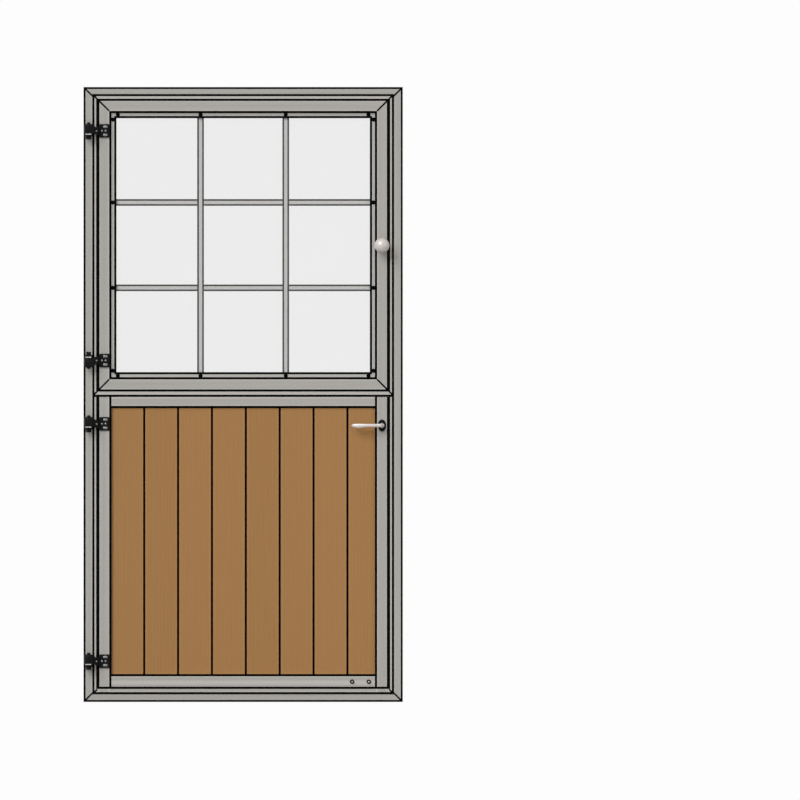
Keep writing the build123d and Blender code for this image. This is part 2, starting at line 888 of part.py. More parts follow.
def lever_rose():
    """Oval rose of a lever, with the bore its neck turns in."""
    with BuildPart() as rose:
        with BuildSketch(facing_front(leaf_front)):
            with Locations((handle_x, lever_height)):
                Ellipse(lever_rose_width / 2, lever_rose_height / 2)
        extrude(amount=lever_rose_thick)
        chamfer(rose.edges().group_by(Axis.Y)[0], length=rose_bevel)
        with BuildSketch(facing_front(leaf_front)):
            with Locations((handle_x, lever_height)):
                Circle(knob_neck_radius + rose_clearance)
        extrude(amount=lever_rose_thick, mode=Mode.SUBTRACT)
    return rose.part


def lever():
    """Lever in front of the lower leaf: a neck, a bend and a grip that curves back towards the leaf."""
    neck = Vector(handle_x, leaf_front, lever_height)
    rose_face = neck - Vector(0, lever_rose_thick, 0)
    bend_start = neck - Vector(0, lever_standoff - lever_bend, 0)
    bend_end = neck - Vector(lever_bend, lever_standoff, 0)
    run = lever_reach - lever_bend
    fall = lever_standoff - lever_tip_out
    sweep_radius = (run**2 + fall**2) / (2 * fall)
    # Along the grip: share of its run, half depth, half height and how far its middle sinks
    stations = (
        (0.0, 1.0, 1.0, 0.0),
        (0.3, 0.85, 0.95, 0.0),
        (0.55, 0.8, 1.0, 0.3),
        (0.72, 0.85, 1.2, 1.4),
        (0.84, 0.8, 1.05, 0.8),
        (0.95, 0.7, 0.75, 0.2),
        (1.0, 0.4, 0.4, 0.0),
    )
    with BuildPart() as piece:
        with BuildSketch(facing_front(leaf_front - running_gap)):
            with Locations((handle_x, lever_height)):
                Circle(knob_neck_radius)
        extrude(amount=lever_rose_thick + neck_shoulder)
        with BuildLine() as bend:
            Line(rose_face, bend_start)
            RadiusArc(bend_start, bend_end, lever_bend)
        with BuildSketch(Plane(origin=rose_face, x_dir=(1, 0, 0), z_dir=(0, -1, 0))):
            Ellipse(lever_half_depth, lever_half_height)
        sweep(path=bend.line)
        for share, depth_share, height_share, sink in stations:
            out = run * share
            back = sweep_radius - (sweep_radius**2 - out**2) ** 0.5
            with BuildSketch(
                Plane(
                    origin=bend_end + Vector(-out, back, -sink),
                    x_dir=(0, -1, 0),
                    z_dir=(-1, 0, 0),
                )
            ):
                Ellipse(lever_half_depth * depth_share, lever_half_height * height_share)
        loft(ruled=True)
    return piece.part


def seal(left, right, foot, top, whole_ring):
    """Lipped strip round a leaf, under its flange: a whole ring, or one left open at its top."""
    outer_top = top + seal_lip if whole_ring else top
    inner_top = outer_top - seal_width if whole_ring else top
    outer_left = left - seal_lip
    outer_right = right + seal_lip
    outer_foot = foot - seal_lip
    sheet = flat_panel(outer_left, outer_right, outer_foot, outer_top, flange_back, seal_thick)
    middle = flat_panel(
        outer_left + seal_width,
        outer_right - seal_width,
        outer_foot + seal_width,
        inner_top,
        flange_back,
        seal_thick,
    )
    with BuildPart() as strip:
        add(sheet)
        add(middle, mode=Mode.SUBTRACT)
    return strip.part


def bead_section():
    """L-shaped glazing bead: a face strip over the pane and a leg down to the ledge."""
    with BuildSketch() as section:
        with BuildLine():
            Polyline(
                (0, bead_front),
                (bead_width, bead_front),
                (bead_width, pane_front),
                (bead_leg_width, pane_front),
                (bead_leg_width, ledge_front),
                (0, ledge_front),
                close=True,
            )
        make_face()
        inner_corner = section.vertices().sort_by(Axis.X)[-2:].sort_by(Axis.Y)[0]
        chamfer(inner_corner, length=bead_round)
    return section.sketch


def shares(start, end, count):
    """Places that split a span into count + 1 equal parts."""
    return [start + (end - start) * step / (count + 1) for step in range(1, count + 1)]


def bead_screw_points(side):
    """Points of one bead's screws, on its middle line."""
    across = bead_width / 2
    if side in ("left", "right"):
        x = rebate_left + across if side == "left" else rebate_right - across
        ends = (sight_foot + bead_screw_corner, sight_top - bead_screw_corner)
        return [(x, z) for z in (ends[0], *shares(sight_foot, sight_top, bars_each_way), ends[1])]
    z = rebate_foot + across if side == "foot" else rebate_top - across
    ends = (sight_left + bead_screw_corner, sight_right - bead_screw_corner)
    return [(x, z) for x in (ends[0], *shares(sight_left, sight_right, bars_each_way), ends[1])]


def glazing_bar_section():
    """Glazing bar, with x across it and y from the pane to the back."""
    half = glazing_bar_width / 2
    back = glazing_bar_depth
    with BuildSketch() as section:
        with BuildLine():
            Polyline(
                (-half, 0),
                (half, 0),
                (half, back - glazing_bar_bevel),
                (half - glazing_bar_bevel, back),
                (glazing_bar_bevel - half, back),
                (-half, back - glazing_bar_bevel),
                close=True,
            )
        make_face()
    return section.sketch


def glazing_bars(upright):
    """The upright or the level glazing bars behind the pane, half lapped where they cross."""
    front = pane_back + glazing_bar_gap
    middle = front + glazing_bar_depth / 2
    uprights = shares(sight_left, sight_right, bars_each_way)
    levels = shares(sight_foot, sight_top, bars_each_way)
    lap = glazing_bar_width / 2 + cleat_clearance
    with BuildPart() as bars:
        for place in uprights if upright else levels:
            if upright:
                start = Plane(origin=(place, front, sight_foot), x_dir=(1, 0, 0), z_dir=(0, 0, 1))
                length = sight_top - sight_foot
            else:
                start = Plane(origin=(sight_left, front, place), x_dir=(0, 0, -1), z_dir=(1, 0, 0))
                length = sight_right - sight_left
            with BuildSketch(start):
                add(glazing_bar_section())
            extrude(amount=length)
        lap_face = middle - cleat_clearance / 2 if upright else middle + cleat_clearance / 2
        with BuildSketch(facing_front(lap_face)):
            with Locations(*[(x, z) for x in uprights for z in levels]):
                Rectangle(2 * lap, 2 * lap)
        extrude(amount=-glazing_bar_depth if upright else glazing_bar_depth, mode=Mode.SUBTRACT)
    return bars.part


def flat_panel(left, right, foot, top, front, thick):
    """A flat upright panel."""
    with BuildPart() as panel:
        with BuildSketch(facing_front(front + thick)):
            with Locations(((left + right) / 2, (foot + top) / 2)):
                Rectangle(right - left, top - foot)
        extrude(amount=thick)
    return panel.part


def gasket():
    """Gasket ring between the pane's edge and the ledge."""
    with BuildPart() as ring:
        with BuildSketch(facing_front(ledge_front)):
            middle_z = (sight_foot + sight_top) / 2
            outer = 2 * pane_cover
            inner = 2 * gasket_setback
            with Locations((0, middle_z)):
                Rectangle(sight_right - sight_left + outer, sight_top - sight_foot + outer)
                Rectangle(
                    sight_right - sight_left + inner,
                    sight_top - sight_foot + inner,
                    mode=Mode.SUBTRACT,
                )
        extrude(amount=gasket_thick)
    return ring.part


def board(number):
    """One board: a groove on its left and a tongue on its right, and plain at the panel's two sides.

    The last board is cut to the width that the others leave.
    """
    left = inner_left + (number - 1) * board_face
    right = inner_right if number == board_count else left + board_face
    half = board_thick / 2
    tongue = tongue_thick / 2
    slot = tongue + board_gap
    seat = board_seat - board_end_gap
    if number == 1:
        left_side = [(left - seat, half), (left - seat, -half)]
    else:
        left_side = [
            (left + board_vee, half),
            (left, half - board_vee),
            (left, slot),
            (left + tongue_depth + board_gap, slot),
            (left + tongue_depth + board_gap, -slot),
            (left, -slot),
            (left, board_vee - half),
            (left + board_vee, -half),
        ]
    if number == board_count:
        right_side = [(right + seat, -half), (right + seat, half)]
    else:
        edge = right - board_gap
        right_side = [
            (edge - board_vee, -half),
            (edge, board_vee - half),
            (edge, -tongue),
            (edge + tongue_depth, -tongue),
            (edge + tongue_depth, tongue),
            (edge, tongue),
            (edge, half - board_vee),
            (edge - board_vee, half),
        ]
    with BuildPart() as piece:
        with BuildSketch(Plane.XY.offset(lower_rail_top - seat)):
            with BuildLine():
                Polyline(*left_side, *right_side, close=True)
            make_face()
        extrude(amount=lower_panel_top - lower_rail_top + 2 * seat)
    return piece.part


def rail_bolt_points():
    middle = lower_body_foot + lower_bottom_rail_height / 2
    return [(frame_right - inset, middle) for inset in rail_bolt_insets]


def rail_bolts():
    """Socket cap bolts through the bottom rail, each with a washer and a nut behind it."""
    washer_back = leaf_back + rail_washer_thick
    nut_back = washer_back + rail_nut_height
    with BuildPart() as bolts:
        with BuildSketch(facing_front(nut_back)):
            with Locations(*rail_bolt_points()):
                Circle(rail_bolt_radius)
        extrude(amount=nut_back - leaf_front)
        with BuildSketch(facing_front(leaf_front)):
            with Locations(*rail_bolt_points()):
                Circle(rail_bolt_head_radius)
        extrude(amount=rail_bolt_head_height)
        with BuildSketch(facing_front(leaf_front - rail_bolt_head_height)):
            with Locations(*rail_bolt_points()):
                RegularPolygon(rail_bolt_socket / 2, 6, major_radius=False)
        extrude(amount=-rail_bolt_socket_depth, mode=Mode.SUBTRACT)
        with BuildSketch(facing_front(washer_back)):
            with Locations(*rail_bolt_points()):
                Circle(rail_washer_radius)
        extrude(amount=rail_washer_thick)
        with BuildSketch(facing_front(nut_back)):
            with Locations(*rail_bolt_points()):
                RegularPolygon(rail_nut_width / 2, 6, major_radius=False)
        extrude(amount=rail_nut_height)
    return bolts.part


# Frame
frame_starts = bar_starts(frame_left, frame_right, 0, frame_height)
frame_bar = frame_section()
keep_heights = (knob_height + bolt_rise, lever_height + bolt_rise)
bracket_points = hinge_points((bracket_screw_inset,), bracket_screw_rises)
turned_points = [(x, -z) for x, z in bracket_points]
jamb_screw_points = [
    (x, z + height)
    for number, height in enumerate(hinge_heights, 1)
    for x, z in (turned_points if number == inverted_hinge else bracket_points)
]
save(mitred_bar(frame_bar, *frame_starts["top"]), "frame_head")
save(mitred_bar(frame_bar, *frame_starts["foot"]), "frame_sill")
save(
    drilled(
        jamb("left"),
        jamb_screw_points,
        frame_front,
        bracket_screw_radius + screw_clearance,
        frame_wall,
    ),
    "frame_hinge_jamb",
)
save(latch_jamb(keep_heights), "frame_latch_jamb")
save(
    corner_cleats(
        (frame_left, frame_right, 0, frame_height),
        frame_lip_width + frame_wall,
        frame_face - frame_wall,
        frame_cleat_arm,
        frame_front + frame_wall,
        frame_back - frame_wall,
    ),
    "frame_corner_cleats",
)
save(keep(keep_heights[0]), "upper_keep")
save(keep(keep_heights[1]), "lower_keep")
save(keep_screws(keep_heights), "keep_screws")

# Hinges
all_hinges = range(1, len(hinge_heights) + 1)
for number in all_hinges:
    save(at_hinges(hinge_bracket(), [number]), "hinge_bracket_%d" % number)
    save(at_hinges(hinge_arm(), [number]), "hinge_arm_%d" % number)
save(at_hinges(hinge_pin(), all_hinges), "hinge_pins")
save(at_hinges(hinge_washer(), all_hinges), "hinge_washers")
save(at_hinges(bracket_screws(), all_hinges), "bracket_screws")
save(at_hinges(arm_screws(), (1, 2)), "upper_arm_screws")
save(at_hinges(arm_screws(), (3, 4)), "lower_arm_screws")

# Upper leaf
upper_outline = (flange_left, flange_right, upper_flange_foot, upper_flange_top)
upper_starts = bar_starts(*upper_outline)
stile_bar = glazed_section(stile_line_width)
rail_bar = glazed_section(rail_line_width)
upper_bars = {
    side: drilled(
        mitred_bar(stile_bar if side in ("left", "right") else rail_bar, *upper_starts[side]),
        bead_screw_points(side),
        ledge_front,
        bead_screw_radius + screw_clearance,
        leaf_wall,
    )
    for side in upper_starts
}
save(upper_bars["top"], "upper_top_rail")
save(upper_bars["foot"], "upper_bottom_rail")
save(stile_for_hinges(upper_bars["left"], (1, 2)), "upper_hinge_stile")
save(latch_stile(upper_bars["right"], knob_height), "upper_latch_stile")
save(
    corner_cleats(
        upper_outline,
        flange_width + leaf_wall,
        rebate_inset - leaf_wall,
        leaf_cleat_arm,
        leaf_front + leaf_wall,
        leaf_back - leaf_wall,
    ),
    "upper_corner_cleats",
)
save(
    flat_panel(
        sight_left - pane_cover,
        sight_right + pane_cover,
        sight_foot - pane_cover,
        sight_top + pane_cover,
        pane_front,
        pane_thick,
    ),
    "glass_pane",
)
save(gasket(), "glazing_gasket")
save(glazing_bars(True), "muntins_upright")
save(glazing_bars(False), "muntins_level")
bead_starts = bar_starts(rebate_left, rebate_right, rebate_foot, rebate_top)
bead_names = {
    "top": "bead_top",
    "foot": "bead_bottom",
    "left": "bead_hinge_side",
    "right": "bead_latch_side",
}
for side, name in bead_names.items():
    bead = mitred_bar(bead_section(), *bead_starts[side])
    bead_hole = bead_screw_radius + screw_clearance
    save(drilled(bead, bead_screw_points(side), bead_front, bead_hole, ledge_front - bead_front), name)
save(
    front_screws(
        [point for side in bead_names for point in bead_screw_points(side)],
        bead_front,
        bead_screw_radius,
        ledge_front - bead_front + bead_screw_tail,
        bead_screw_head_radius,
        bead_screw_head_height,
    ),
    "bead_screws",
)
save(seal(*upper_outline, True), "upper_seal")
save(both_faces(knob_rose()), "knob_roses")
save(socketed(knob(), knob_height), "knob_front")
save(with_spindle(knob(), knob_height), "knob_back")
save(latch_case(knob_height), "upper_latch_case")
save(latch_bolt(knob_height), "upper_latch_bolt")

# Lower leaf
flanged_stile = boarded_section(member_face, stile_line_width)
lower_starts = bar_starts(body_left, body_right, lower_flange_foot, lower_leaf_top)
lower_stiles = {}
flange_cut_width = 2 * rebate_inset
for side in ("left", "right"):
    plain_stile = straight_bar(flanged_stile, *lower_starts[side])
    with BuildPart() as stile:
        add(plain_stile)
        with BuildSketch(Plane.XY.offset(lower_flange_foot)):
            with Locations((lower_starts[side][0].origin.X, flange_back)):
                Rectangle(flange_cut_width, leaf_depth, align=(Align.CENTER, Align.MIN))
        extrude(amount=flange_width, mode=Mode.SUBTRACT)
    lower_stiles[side] = stile.part
save(stile_for_hinges(lower_stiles["left"], (3, 4)), "lower_hinge_stile")
save(latch_stile(lower_stiles["right"], lever_height), "lower_latch_stile")
rail_starts = bar_starts(inner_left, inner_right, lower_body_foot, lower_leaf_top)
save(straight_bar(boarded_section(lower_top_rail_height, 0), *rail_starts["top"]), "lower_top_rail")
bottom_rail = straight_bar(boarded_section(lower_bottom_rail_height, rail_line_width), *rail_starts["foot"])
save(
    drilled(
        bottom_rail,
        rail_bolt_points(),
        leaf_front,
        rail_bolt_radius + screw_clearance,
        leaf_depth,
    ),
    "lower_bottom_rail",
)
for number in range(1, board_count + 1):
    save(board(number), "board_%d" % number)
save(seal(flange_left, flange_right, lower_flange_foot, lower_leaf_top, False), "lower_seal")
save(rail_bolts(), "rail_bolts")
save(both_faces(lever_rose()), "lever_roses")
save(socketed(lever(), lever_height), "lever_front")
save(with_spindle(lever(), lever_height), "lever_back")
save(latch_case(lever_height), "lower_latch_case")
save(latch_bolt(lever_height), "lower_latch_bolt")
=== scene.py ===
"""Looks of a dutch stable door: finishes for its bars, boards and pane, and its turned and cast fittings."""

import math

import bpy
from bpy.props import FloatProperty, FloatVectorProperty, IntProperty, PointerProperty
from mathutils import Matrix, Vector


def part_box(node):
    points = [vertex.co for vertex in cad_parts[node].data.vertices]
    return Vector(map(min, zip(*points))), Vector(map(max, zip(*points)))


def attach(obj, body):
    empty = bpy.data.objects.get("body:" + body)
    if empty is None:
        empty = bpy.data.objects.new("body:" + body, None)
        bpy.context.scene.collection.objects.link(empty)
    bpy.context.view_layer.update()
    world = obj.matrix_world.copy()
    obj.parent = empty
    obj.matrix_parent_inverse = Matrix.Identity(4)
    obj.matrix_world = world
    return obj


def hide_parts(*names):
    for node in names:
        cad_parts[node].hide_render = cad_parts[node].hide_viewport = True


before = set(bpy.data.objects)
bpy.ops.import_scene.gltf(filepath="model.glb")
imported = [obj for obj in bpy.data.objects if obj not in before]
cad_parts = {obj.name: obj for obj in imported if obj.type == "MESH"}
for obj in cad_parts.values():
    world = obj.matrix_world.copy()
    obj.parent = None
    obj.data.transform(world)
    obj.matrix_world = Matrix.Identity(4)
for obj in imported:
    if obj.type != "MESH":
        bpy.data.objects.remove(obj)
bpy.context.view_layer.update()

bl_info = {
    "name": "Dutch stable door",
    "version": (1, 0, 0),
    "blender": (4, 5, 0),
    "location": "View3D > Sidebar > Stable door",
    "description": "Dresses a framed dutch stable door with its finishes and fittings",
    "category": "Object",
}

MM = 0.001
# The door's front looks along -Y
FRONT = Vector((0, -1, 0))
BACK = Vector((0, 1, 0))
UP = Vector((0, 0, 1))
DOWN = Vector((0, 0, -1))
MERGE_DISTANCE = 0.01 * MM
HINGES = (1, 2, 3, 4)
UPPER_HINGES = (1, 2)
FRAME_BARS = ("frame_head", "frame_sill", "frame_hinge_jamb", "frame_latch_jamb")
UPPER_BARS = ("upper_top_rail", "upper_bottom_rail", "upper_hinge_stile", "upper_latch_stile")
BEADS = ("bead_top", "bead_bottom", "bead_hinge_side", "bead_latch_side")
LEVEL_PIECES = ("frame_head", "frame_sill", "upper_top_rail", "upper_bottom_rail", "bead_top", "bead_bottom")
# An arm's fasteners by width: the oval washers are wider than the first, and the screws than the second
OVAL_WASHER_SPAN = 12 * MM
ARM_SCREW_SPAN = 7.5 * MM
# A hinge's pin is longer than this, and its domed nut is shorter
PIN_LENGTH = 20 * MM
# Names of the materials that dress the pieces made here
RUBBER = "black_epdm_rubber"
FILLER = "black_joint_filler"
IRON = "black_coated_iron"
STEEL = "bright_plated_steel"
ZINC = "zinc_plated_screw"
SATIN = "satin_chrome"
# Steps round the pieces that need their own number
PIN_STEPS = 32
KNURL_STEPS = 48
LEVER_SIDES = 28
ROSE_SIDES = 48


def outline_of(*names):
    """Left, right, foot and top of some nodes, seen from the front."""
    boxes = [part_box(name) for name in names]
    return (min(low.x for low, high in boxes), max(high.x for low, high in boxes),
            min(low.z for low, high in boxes), max(high.z for low, high in boxes))


# Places of the bars and fittings, measured on the frame
frame_outline = outline_of(*FRAME_BARS)
upper_outline = outline_of(*UPPER_BARS)
lower_outline = outline_of("lower_hinge_stile", "lower_latch_stile")
rebate_outline = outline_of(*BEADS)
rail_outline = outline_of("lower_top_rail", "lower_bottom_rail")
frame_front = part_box("frame_head")[0].y
leaf_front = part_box("upper_top_rail")[0].y
leaf_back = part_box("upper_top_rail")[1].y
bead_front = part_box("bead_top")[0].y
pane_front, pane_back = (corner.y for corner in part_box("glass_pane"))
board_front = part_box("board_2")[0].y
board_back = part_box("board_2")[1].y
board_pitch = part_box("board_3")[0].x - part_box("board_2")[0].x
board_count = sum(1 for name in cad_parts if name.startswith("board_"))
boards_left, boards_right = rail_outline[:2]
lower_panel = (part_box("lower_bottom_rail")[1].z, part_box("lower_top_rail")[0].z)
leaf_inset = upper_outline[0] - frame_outline[0]
rebate_inset = rebate_outline[0] - upper_outline[0]
bead_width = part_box("bead_hinge_side")[1].x - rebate_outline[0]
muntins_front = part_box("muntins_upright")[0].y
knob_low, knob_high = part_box("knob_front")
lever_low, lever_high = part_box("lever_front")
lever_rose_low, lever_rose_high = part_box("lever_roses")
knob_rose_low, knob_rose_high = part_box("knob_roses")


def linear(hex_colour):
    """An sRGB hex colour as linear red, green, blue and alpha."""
    values = [int(hex_colour[start:start + 2], 16) / 255 for start in (1, 3, 5)]
    return tuple(v / 12.92 if v <= 0.04045 else ((v + 0.055) / 1.055) ** 2.4 for v in values) + (1.0,)


def colour(name, hex_colour, description):
    return FloatVectorProperty(
        name=name, description=description, subtype="COLOR", size=4, min=0, max=1, default=linear(hex_colour)
    )


def length(name, millimetres, description):
    return FloatProperty(
        name=name, description=description, unit="LENGTH", subtype="DISTANCE", default=millimetres * MM
    )


class DoorFinishes(bpy.types.PropertyGroup):
    """Colours of the door's materials."""

    aluminium: colour("Aluminium", "#aca9a4", "Natural anodised aluminium of the bars")
    # Painted highlight: the bars' paler coat beside their black lines and along their arrises
    aluminium_painted_highlight: colour("Aluminium, pale", "#c2bfba", "Aluminium along the bars' arrises")
    # Painted light: both colours of the glazing bars are lighter than the outer bars, to make up for the
    # pane's shade on them
    muntin: colour("Glazing bars", "#e8e5e3", "Pale anodised glazing bars behind the pane")
    muntin_dark: colour("Glazing bars, dark", "#dedbd8", "Faint marks on the glazing bars")
    black_line: colour("Black lines", "#010101", "Black inlays, seams and gaskets")
    board: colour("Board", "#ab7f4e", "Oiled larch of the boards")
    board_dark: colour("Board, dark", "#9b7245", "Late wood in the boards' grain")
    board_pale: colour("Board, pale", "#b98956", "Boards along their edges")
    glazing: colour("Glazing", "#b4b4b4", "Tint of the polycarbonate pane")
    glazing_dark: colour("Glazing, dark", "#b0b0b0", "Faint haze in the pane")
    coated_iron: colour("Coated iron", "#050505", "Black coated hinges")
    iron_worn: colour("Coated iron, worn", "#0f0f10", "Rubbed spots on the hinges")
    rubber: colour("Rubber", "#020202", "Black rubber seals")
    bloom: colour("Bloom", "#050505", "Bloom on rubber and joint filler")
    zinc: colour("Zinc", "#8f918f", "Zinc plated screws")
    zinc_dark: colour("Zinc, dark", "#7b7d7b", "Marks on the zinc plated screws")
    steel: colour("Steel", "#c9c9c7", "Bright steel washers and bolts")
    steel_dark: colour("Steel, dark", "#b9b9b7", "Marks on the bright steel")
    cleat_dark: colour("Cleats, dark", "#8d8b86", "Marks on the cast corner cleats")
    satin: colour("Satin chrome", "#e2dad6", "Satin chrome knobs and levers")
    satin_dark: colour("Satin chrome, dark", "#d4ccca", "Brush marks on the knobs and levers")
    floor: colour("Floor", "#f2f2f0", "Studio floor as it is seen")
    floor_paint: colour("Floor paint", "#9c9c9a", "Studio floor's own grey, which throws little light up")
    floor_dark: colour("Floor paint, dark", "#979795", "Darker clouds in the floor's grey")
    backdrop: colour("Backdrop", "#fdfdfd", "Studio backdrop and sky")


class DoorLines(bpy.types.PropertyGroup):
    """Widths and places of the black inlays and seams along the bars."""

    stand: length("Stand", 0.3, "How far an inlay stands off its bar")
    frame_edge: length("Frame edge", 8, "Width of the black edge strip round the frame")
    flange_edge: length("Flange edge", 4.6, "Width of the black edge strip round each leaf's flange")
    meeting_edge: length("Meeting edge", 2.4, "Width of the edge strips where the leaves meet")
    band_start: length("Band start", 11.5, "From the flange's edge to the band on a stile")
    band_width: length("Band width", 13, "Width of the band on a stile")
    line_start: length("Line start", 14.5, "From the flange's edge to the line on a rail")
    foot_line_start: length("Foot line start", 17, "From the flange's edge to the line on the bottom rail")
    line_width: length("Line width", 9, "Width of the other lines")
    seam: length("Seam", 6.6, "Width of the filled seam in a mitre")
    tape: length("Tape", 6.8, "Width of the glazing tape along a glazing bar's edge")
    meeting_trim: length("Meeting trim", 0.44, "How far the lower leaf's top trim stands up")
    meeting_trim_depth: length("Meeting trim depth", 6, "Depth of the lower leaf's top trim")
    joint: length("Board joint", 8.6, "Width of the black bead in the boards' joints")
    joint_stand: length("Joint stand", 0.8, "How far a joint's bead stands off the boards")


class DoorFittings(bpy.types.PropertyGroup):
    """Sizes of the fittings that are modelled here."""

    turn_steps: IntProperty(name="Turn steps", description="Steps round a turned piece", default=48)
    screw_steps: IntProperty(name="Screw steps", description="Steps round a screw", default=24)
    knob_radius: length("Knob radius", 30, "Radius of the knob's ball")
    neck_radius: length("Neck radius", 9, "Radius of the handles' necks")
    neck_gap: length("Neck gap", 0.3, "From the leaf to the end of a handle's neck")
    knob_waist: length("Knob waist", 8, "Radius of the knob's neck behind the ball")
    rose_bore: length("Rose bore", 9.06, "Radius of the bore in a rose")
    rose_round: length("Rose round", 1.8, "Rounding of a rose's front edge")
    lever_standoff: length("Lever standoff", 36, "From the leaf to the lever's middle at its bend")
    lever_bend: length("Lever bend", 10, "Radius of the lever's bend")
    lever_tip_out: length("Lever tip", 22, "From the leaf to the lever's middle at its tip")
    lever_half_depth: length("Lever half depth", 5.5, "Half the depth of the lever's grip")
    lever_half_height: length("Lever half height", 7.5, "Half the height of the lever's grip")
    lever_sink: length("Lever sink", 1.4, "How far the swell hangs below the grip's line")
    recess: length("Recess width", 5, "Span of the cross recess in a screw head")
    recess_depth: length("Recess depth", 1.2, "Depth of the cross recess in a screw head")
    seal_reach: length("Washer reach", 2.4, "How far a sealing washer reaches past a screw head")
    gasket_reach: length("Gasket reach", 3.2, "How far the foam gasket reaches past the lever's rose")
    gasket_thick: length("Gasket thickness", 1.2, "Thickness of the foam gasket round the lever's rose")
    screw_shank: length("Screw shank", 2.5, "Radius of a bracket or arm screw's shank")
    bead_screw_shank: length("Bead screw shank", 1.9, "Radius of a bead screw's shank")
    arm_screw_head: length("Arm screw head", 2.5, "Height of an arm screw's head")
    oval_washer: length("Oval washer", 2, "Thickness of the oval washers on the hinge arms")
    adjuster_socket: length("Adjuster socket", 3.5, "Width of an adjuster's socket across its flats")
    adjuster_socket_depth: length("Adjuster socket depth", 2.5, "Depth of an adjuster's socket")
    washer_bore: length("Washer bore", 6.05, "Radius of the bore in a hinge washer")
    cast_edge: length("Cast edge", 0.9, "Rounding of the hinges' cast edges")
    pin_head: length("Pin head", 12.6, "Height of a hinge pin's head")
    pin_flats: length("Pin flats", 19, "Width of a hinge pin's head across its flats")
    pin_radius: length("Pin radius", 6, "Radius of a hinge pin")
    thread_radius: length("Thread radius", 4, "Radius of a hinge pin's threaded end")
    thread_length: length("Thread length", 5, "Length of a hinge pin's threaded end")
    bolt_head: length("Bolt head", 6.5, "Radius of a rail bolt's head")
    bolt_shank: length("Bolt shank", 4, "Radius of a rail bolt's shank")
    bolt_washer: length("Bolt washer", 8, "Radius of the washer behind the rail")
    bolt_washer_thick: length("Bolt washer thickness", 1.6, "Thickness of the washer behind the rail")
    bolt_nut: length("Bolt nut", 13, "Width of a rail bolt's nut across its flats")
    bolt_socket: length("Bolt socket", 6, "Width of a rail bolt's socket across its flats")
    bolt_socket_depth: length("Bolt socket depth", 4, "Depth of a rail bolt's socket")


class DoorStage(bpy.types.PropertyGroup):
    """Camera, lights and floor."""

    view_width: length("View width", 3198, "Width of the camera's view")
    view_centre: FloatVectorProperty(
        name="View centre", description="Point that the camera looks at", subtype="TRANSLATION",
        default=(0.627, 0, 1.207),
    )
    camera_distance: length("Camera distance", 6000, "From the door to the camera")
    key_power: FloatProperty(name="Key light", description="Strength of the key light", default=2.08)
    fill_power: FloatProperty(name="Fill light", description="Strength of the fill light", default=0.25)
    back_power: FloatProperty(name="Back light", description="Strength of the light behind", default=1.6)
    lamp_spread: FloatProperty(name="Lamp spread", description="Width of each lamp in degrees", default=35)
    sky_strength: FloatProperty(name="Sky strength", description="Light from all round", default=0.32)
    floor_size: length("Floor size", 24000, "Length of the floor's side")
    floor_glow: FloatProperty(name="Floor glow", description="Lift of the floor towards white", default=0.6)


def add_node(material, kind, inputs=None, **settings):
    """A node of a kind, with its settings, and its inputs set to values or linked to other outputs."""
    node = material.node_tree.nodes.new(kind)
    for name, value in settings.items():
        setattr(node, name, value)
    for name, value in (inputs or {}).items():
        if isinstance(value, bpy.types.NodeSocket):
            material.node_tree.links.new(value, node.inputs[name])
        else:
            node.inputs[name].default_value = value
    return node


def new_material(name, values):
    """A material and its shader, with plain values on the shader's own sockets."""
    material = bpy.data.materials.new(name)
    material.use_nodes = True
    shader = material.node_tree.nodes["Principled BSDF"]
    for socket, value in values.items():
        shader.inputs[socket].default_value = value
    return material, shader


def position(material):
    """Object coordinates and their three parts."""
    coordinates = add_node(material, "ShaderNodeTexCoord").outputs["Object"]
    parts = add_node(material, "ShaderNodeSeparateXYZ", {0: coordinates}).outputs
    return coordinates, parts["X"], parts["Y"], parts["Z"]


def place(material, scale):
    """Object coordinates, stretched for a pattern of so many marks a metre along each axis."""
    coordinates = add_node(material, "ShaderNodeTexCoord")
    return add_node(
        material, "ShaderNodeMapping", {"Vector": coordinates.outputs["Object"], "Scale": scale}
    ).outputs["Vector"]


def noise(material, vector, detail=3.0, roughness=0.5):
    return add_node(
        material, "ShaderNodeTexNoise",
        {"Vector": vector, "Scale": 1.0, "Detail": detail, "Roughness": roughness},
    ).outputs["Fac"]


def between(material, value, low, high, start=0.35, end=0.65):
    """A value's range from start to end, spread from low to high."""
    return add_node(
        material, "ShaderNodeMapRange",
        {"Value": value, "From Min": start, "From Max": end, "To Min": low, "To Max": high},
    ).outputs["Result"]


def blend_colours(material, factor, first, second):
    """Two colours mixed by a factor."""
    mix = add_node(material, "ShaderNodeMix", data_type="RGBA")
    for socket, value in ((0, factor), (6, first), (7, second)):
        if isinstance(value, bpy.types.NodeSocket):
            material.node_tree.links.new(value, mix.inputs[socket])
        else:
            mix.inputs[socket].default_value = value
    return mix.outputs[2]


def calculate(material, operation, *values):
    return add_node(
        material, "ShaderNodeMath", dict(enumerate(values)), operation=operation
    ).outputs[0]


def nearest(material, distances):
    """The smallest of some distances."""
    least = distances[0]
    for other in distances[1:]:
        least = calculate(material, "MINIMUM", least, other)
    return least


def from_ends(material, value, low, high):
    """Distance of a coordinate from the nearer of two ends, inwards."""
    from_middle = calculate(
        material, "ABSOLUTE", calculate(material, "SUBTRACT", value, (low + high) / 2)
    )
    return calculate(material, "SUBTRACT", (high - low) / 2, from_middle)


def raise_surface(material, shader, height, distance, strength=1.0):
    """Bump of a height in metres on a shader."""
    bump = add_node(
        material, "ShaderNodeBump", {"Height": height, "Distance": distance, "Strength": strength}
    )
    material.node_tree.links.new(bump.outputs["Normal"], shader.inputs["Normal"])


def connect(material, output, shader, socket):
    material.node_tree.links.new(output, shader.inputs[socket])


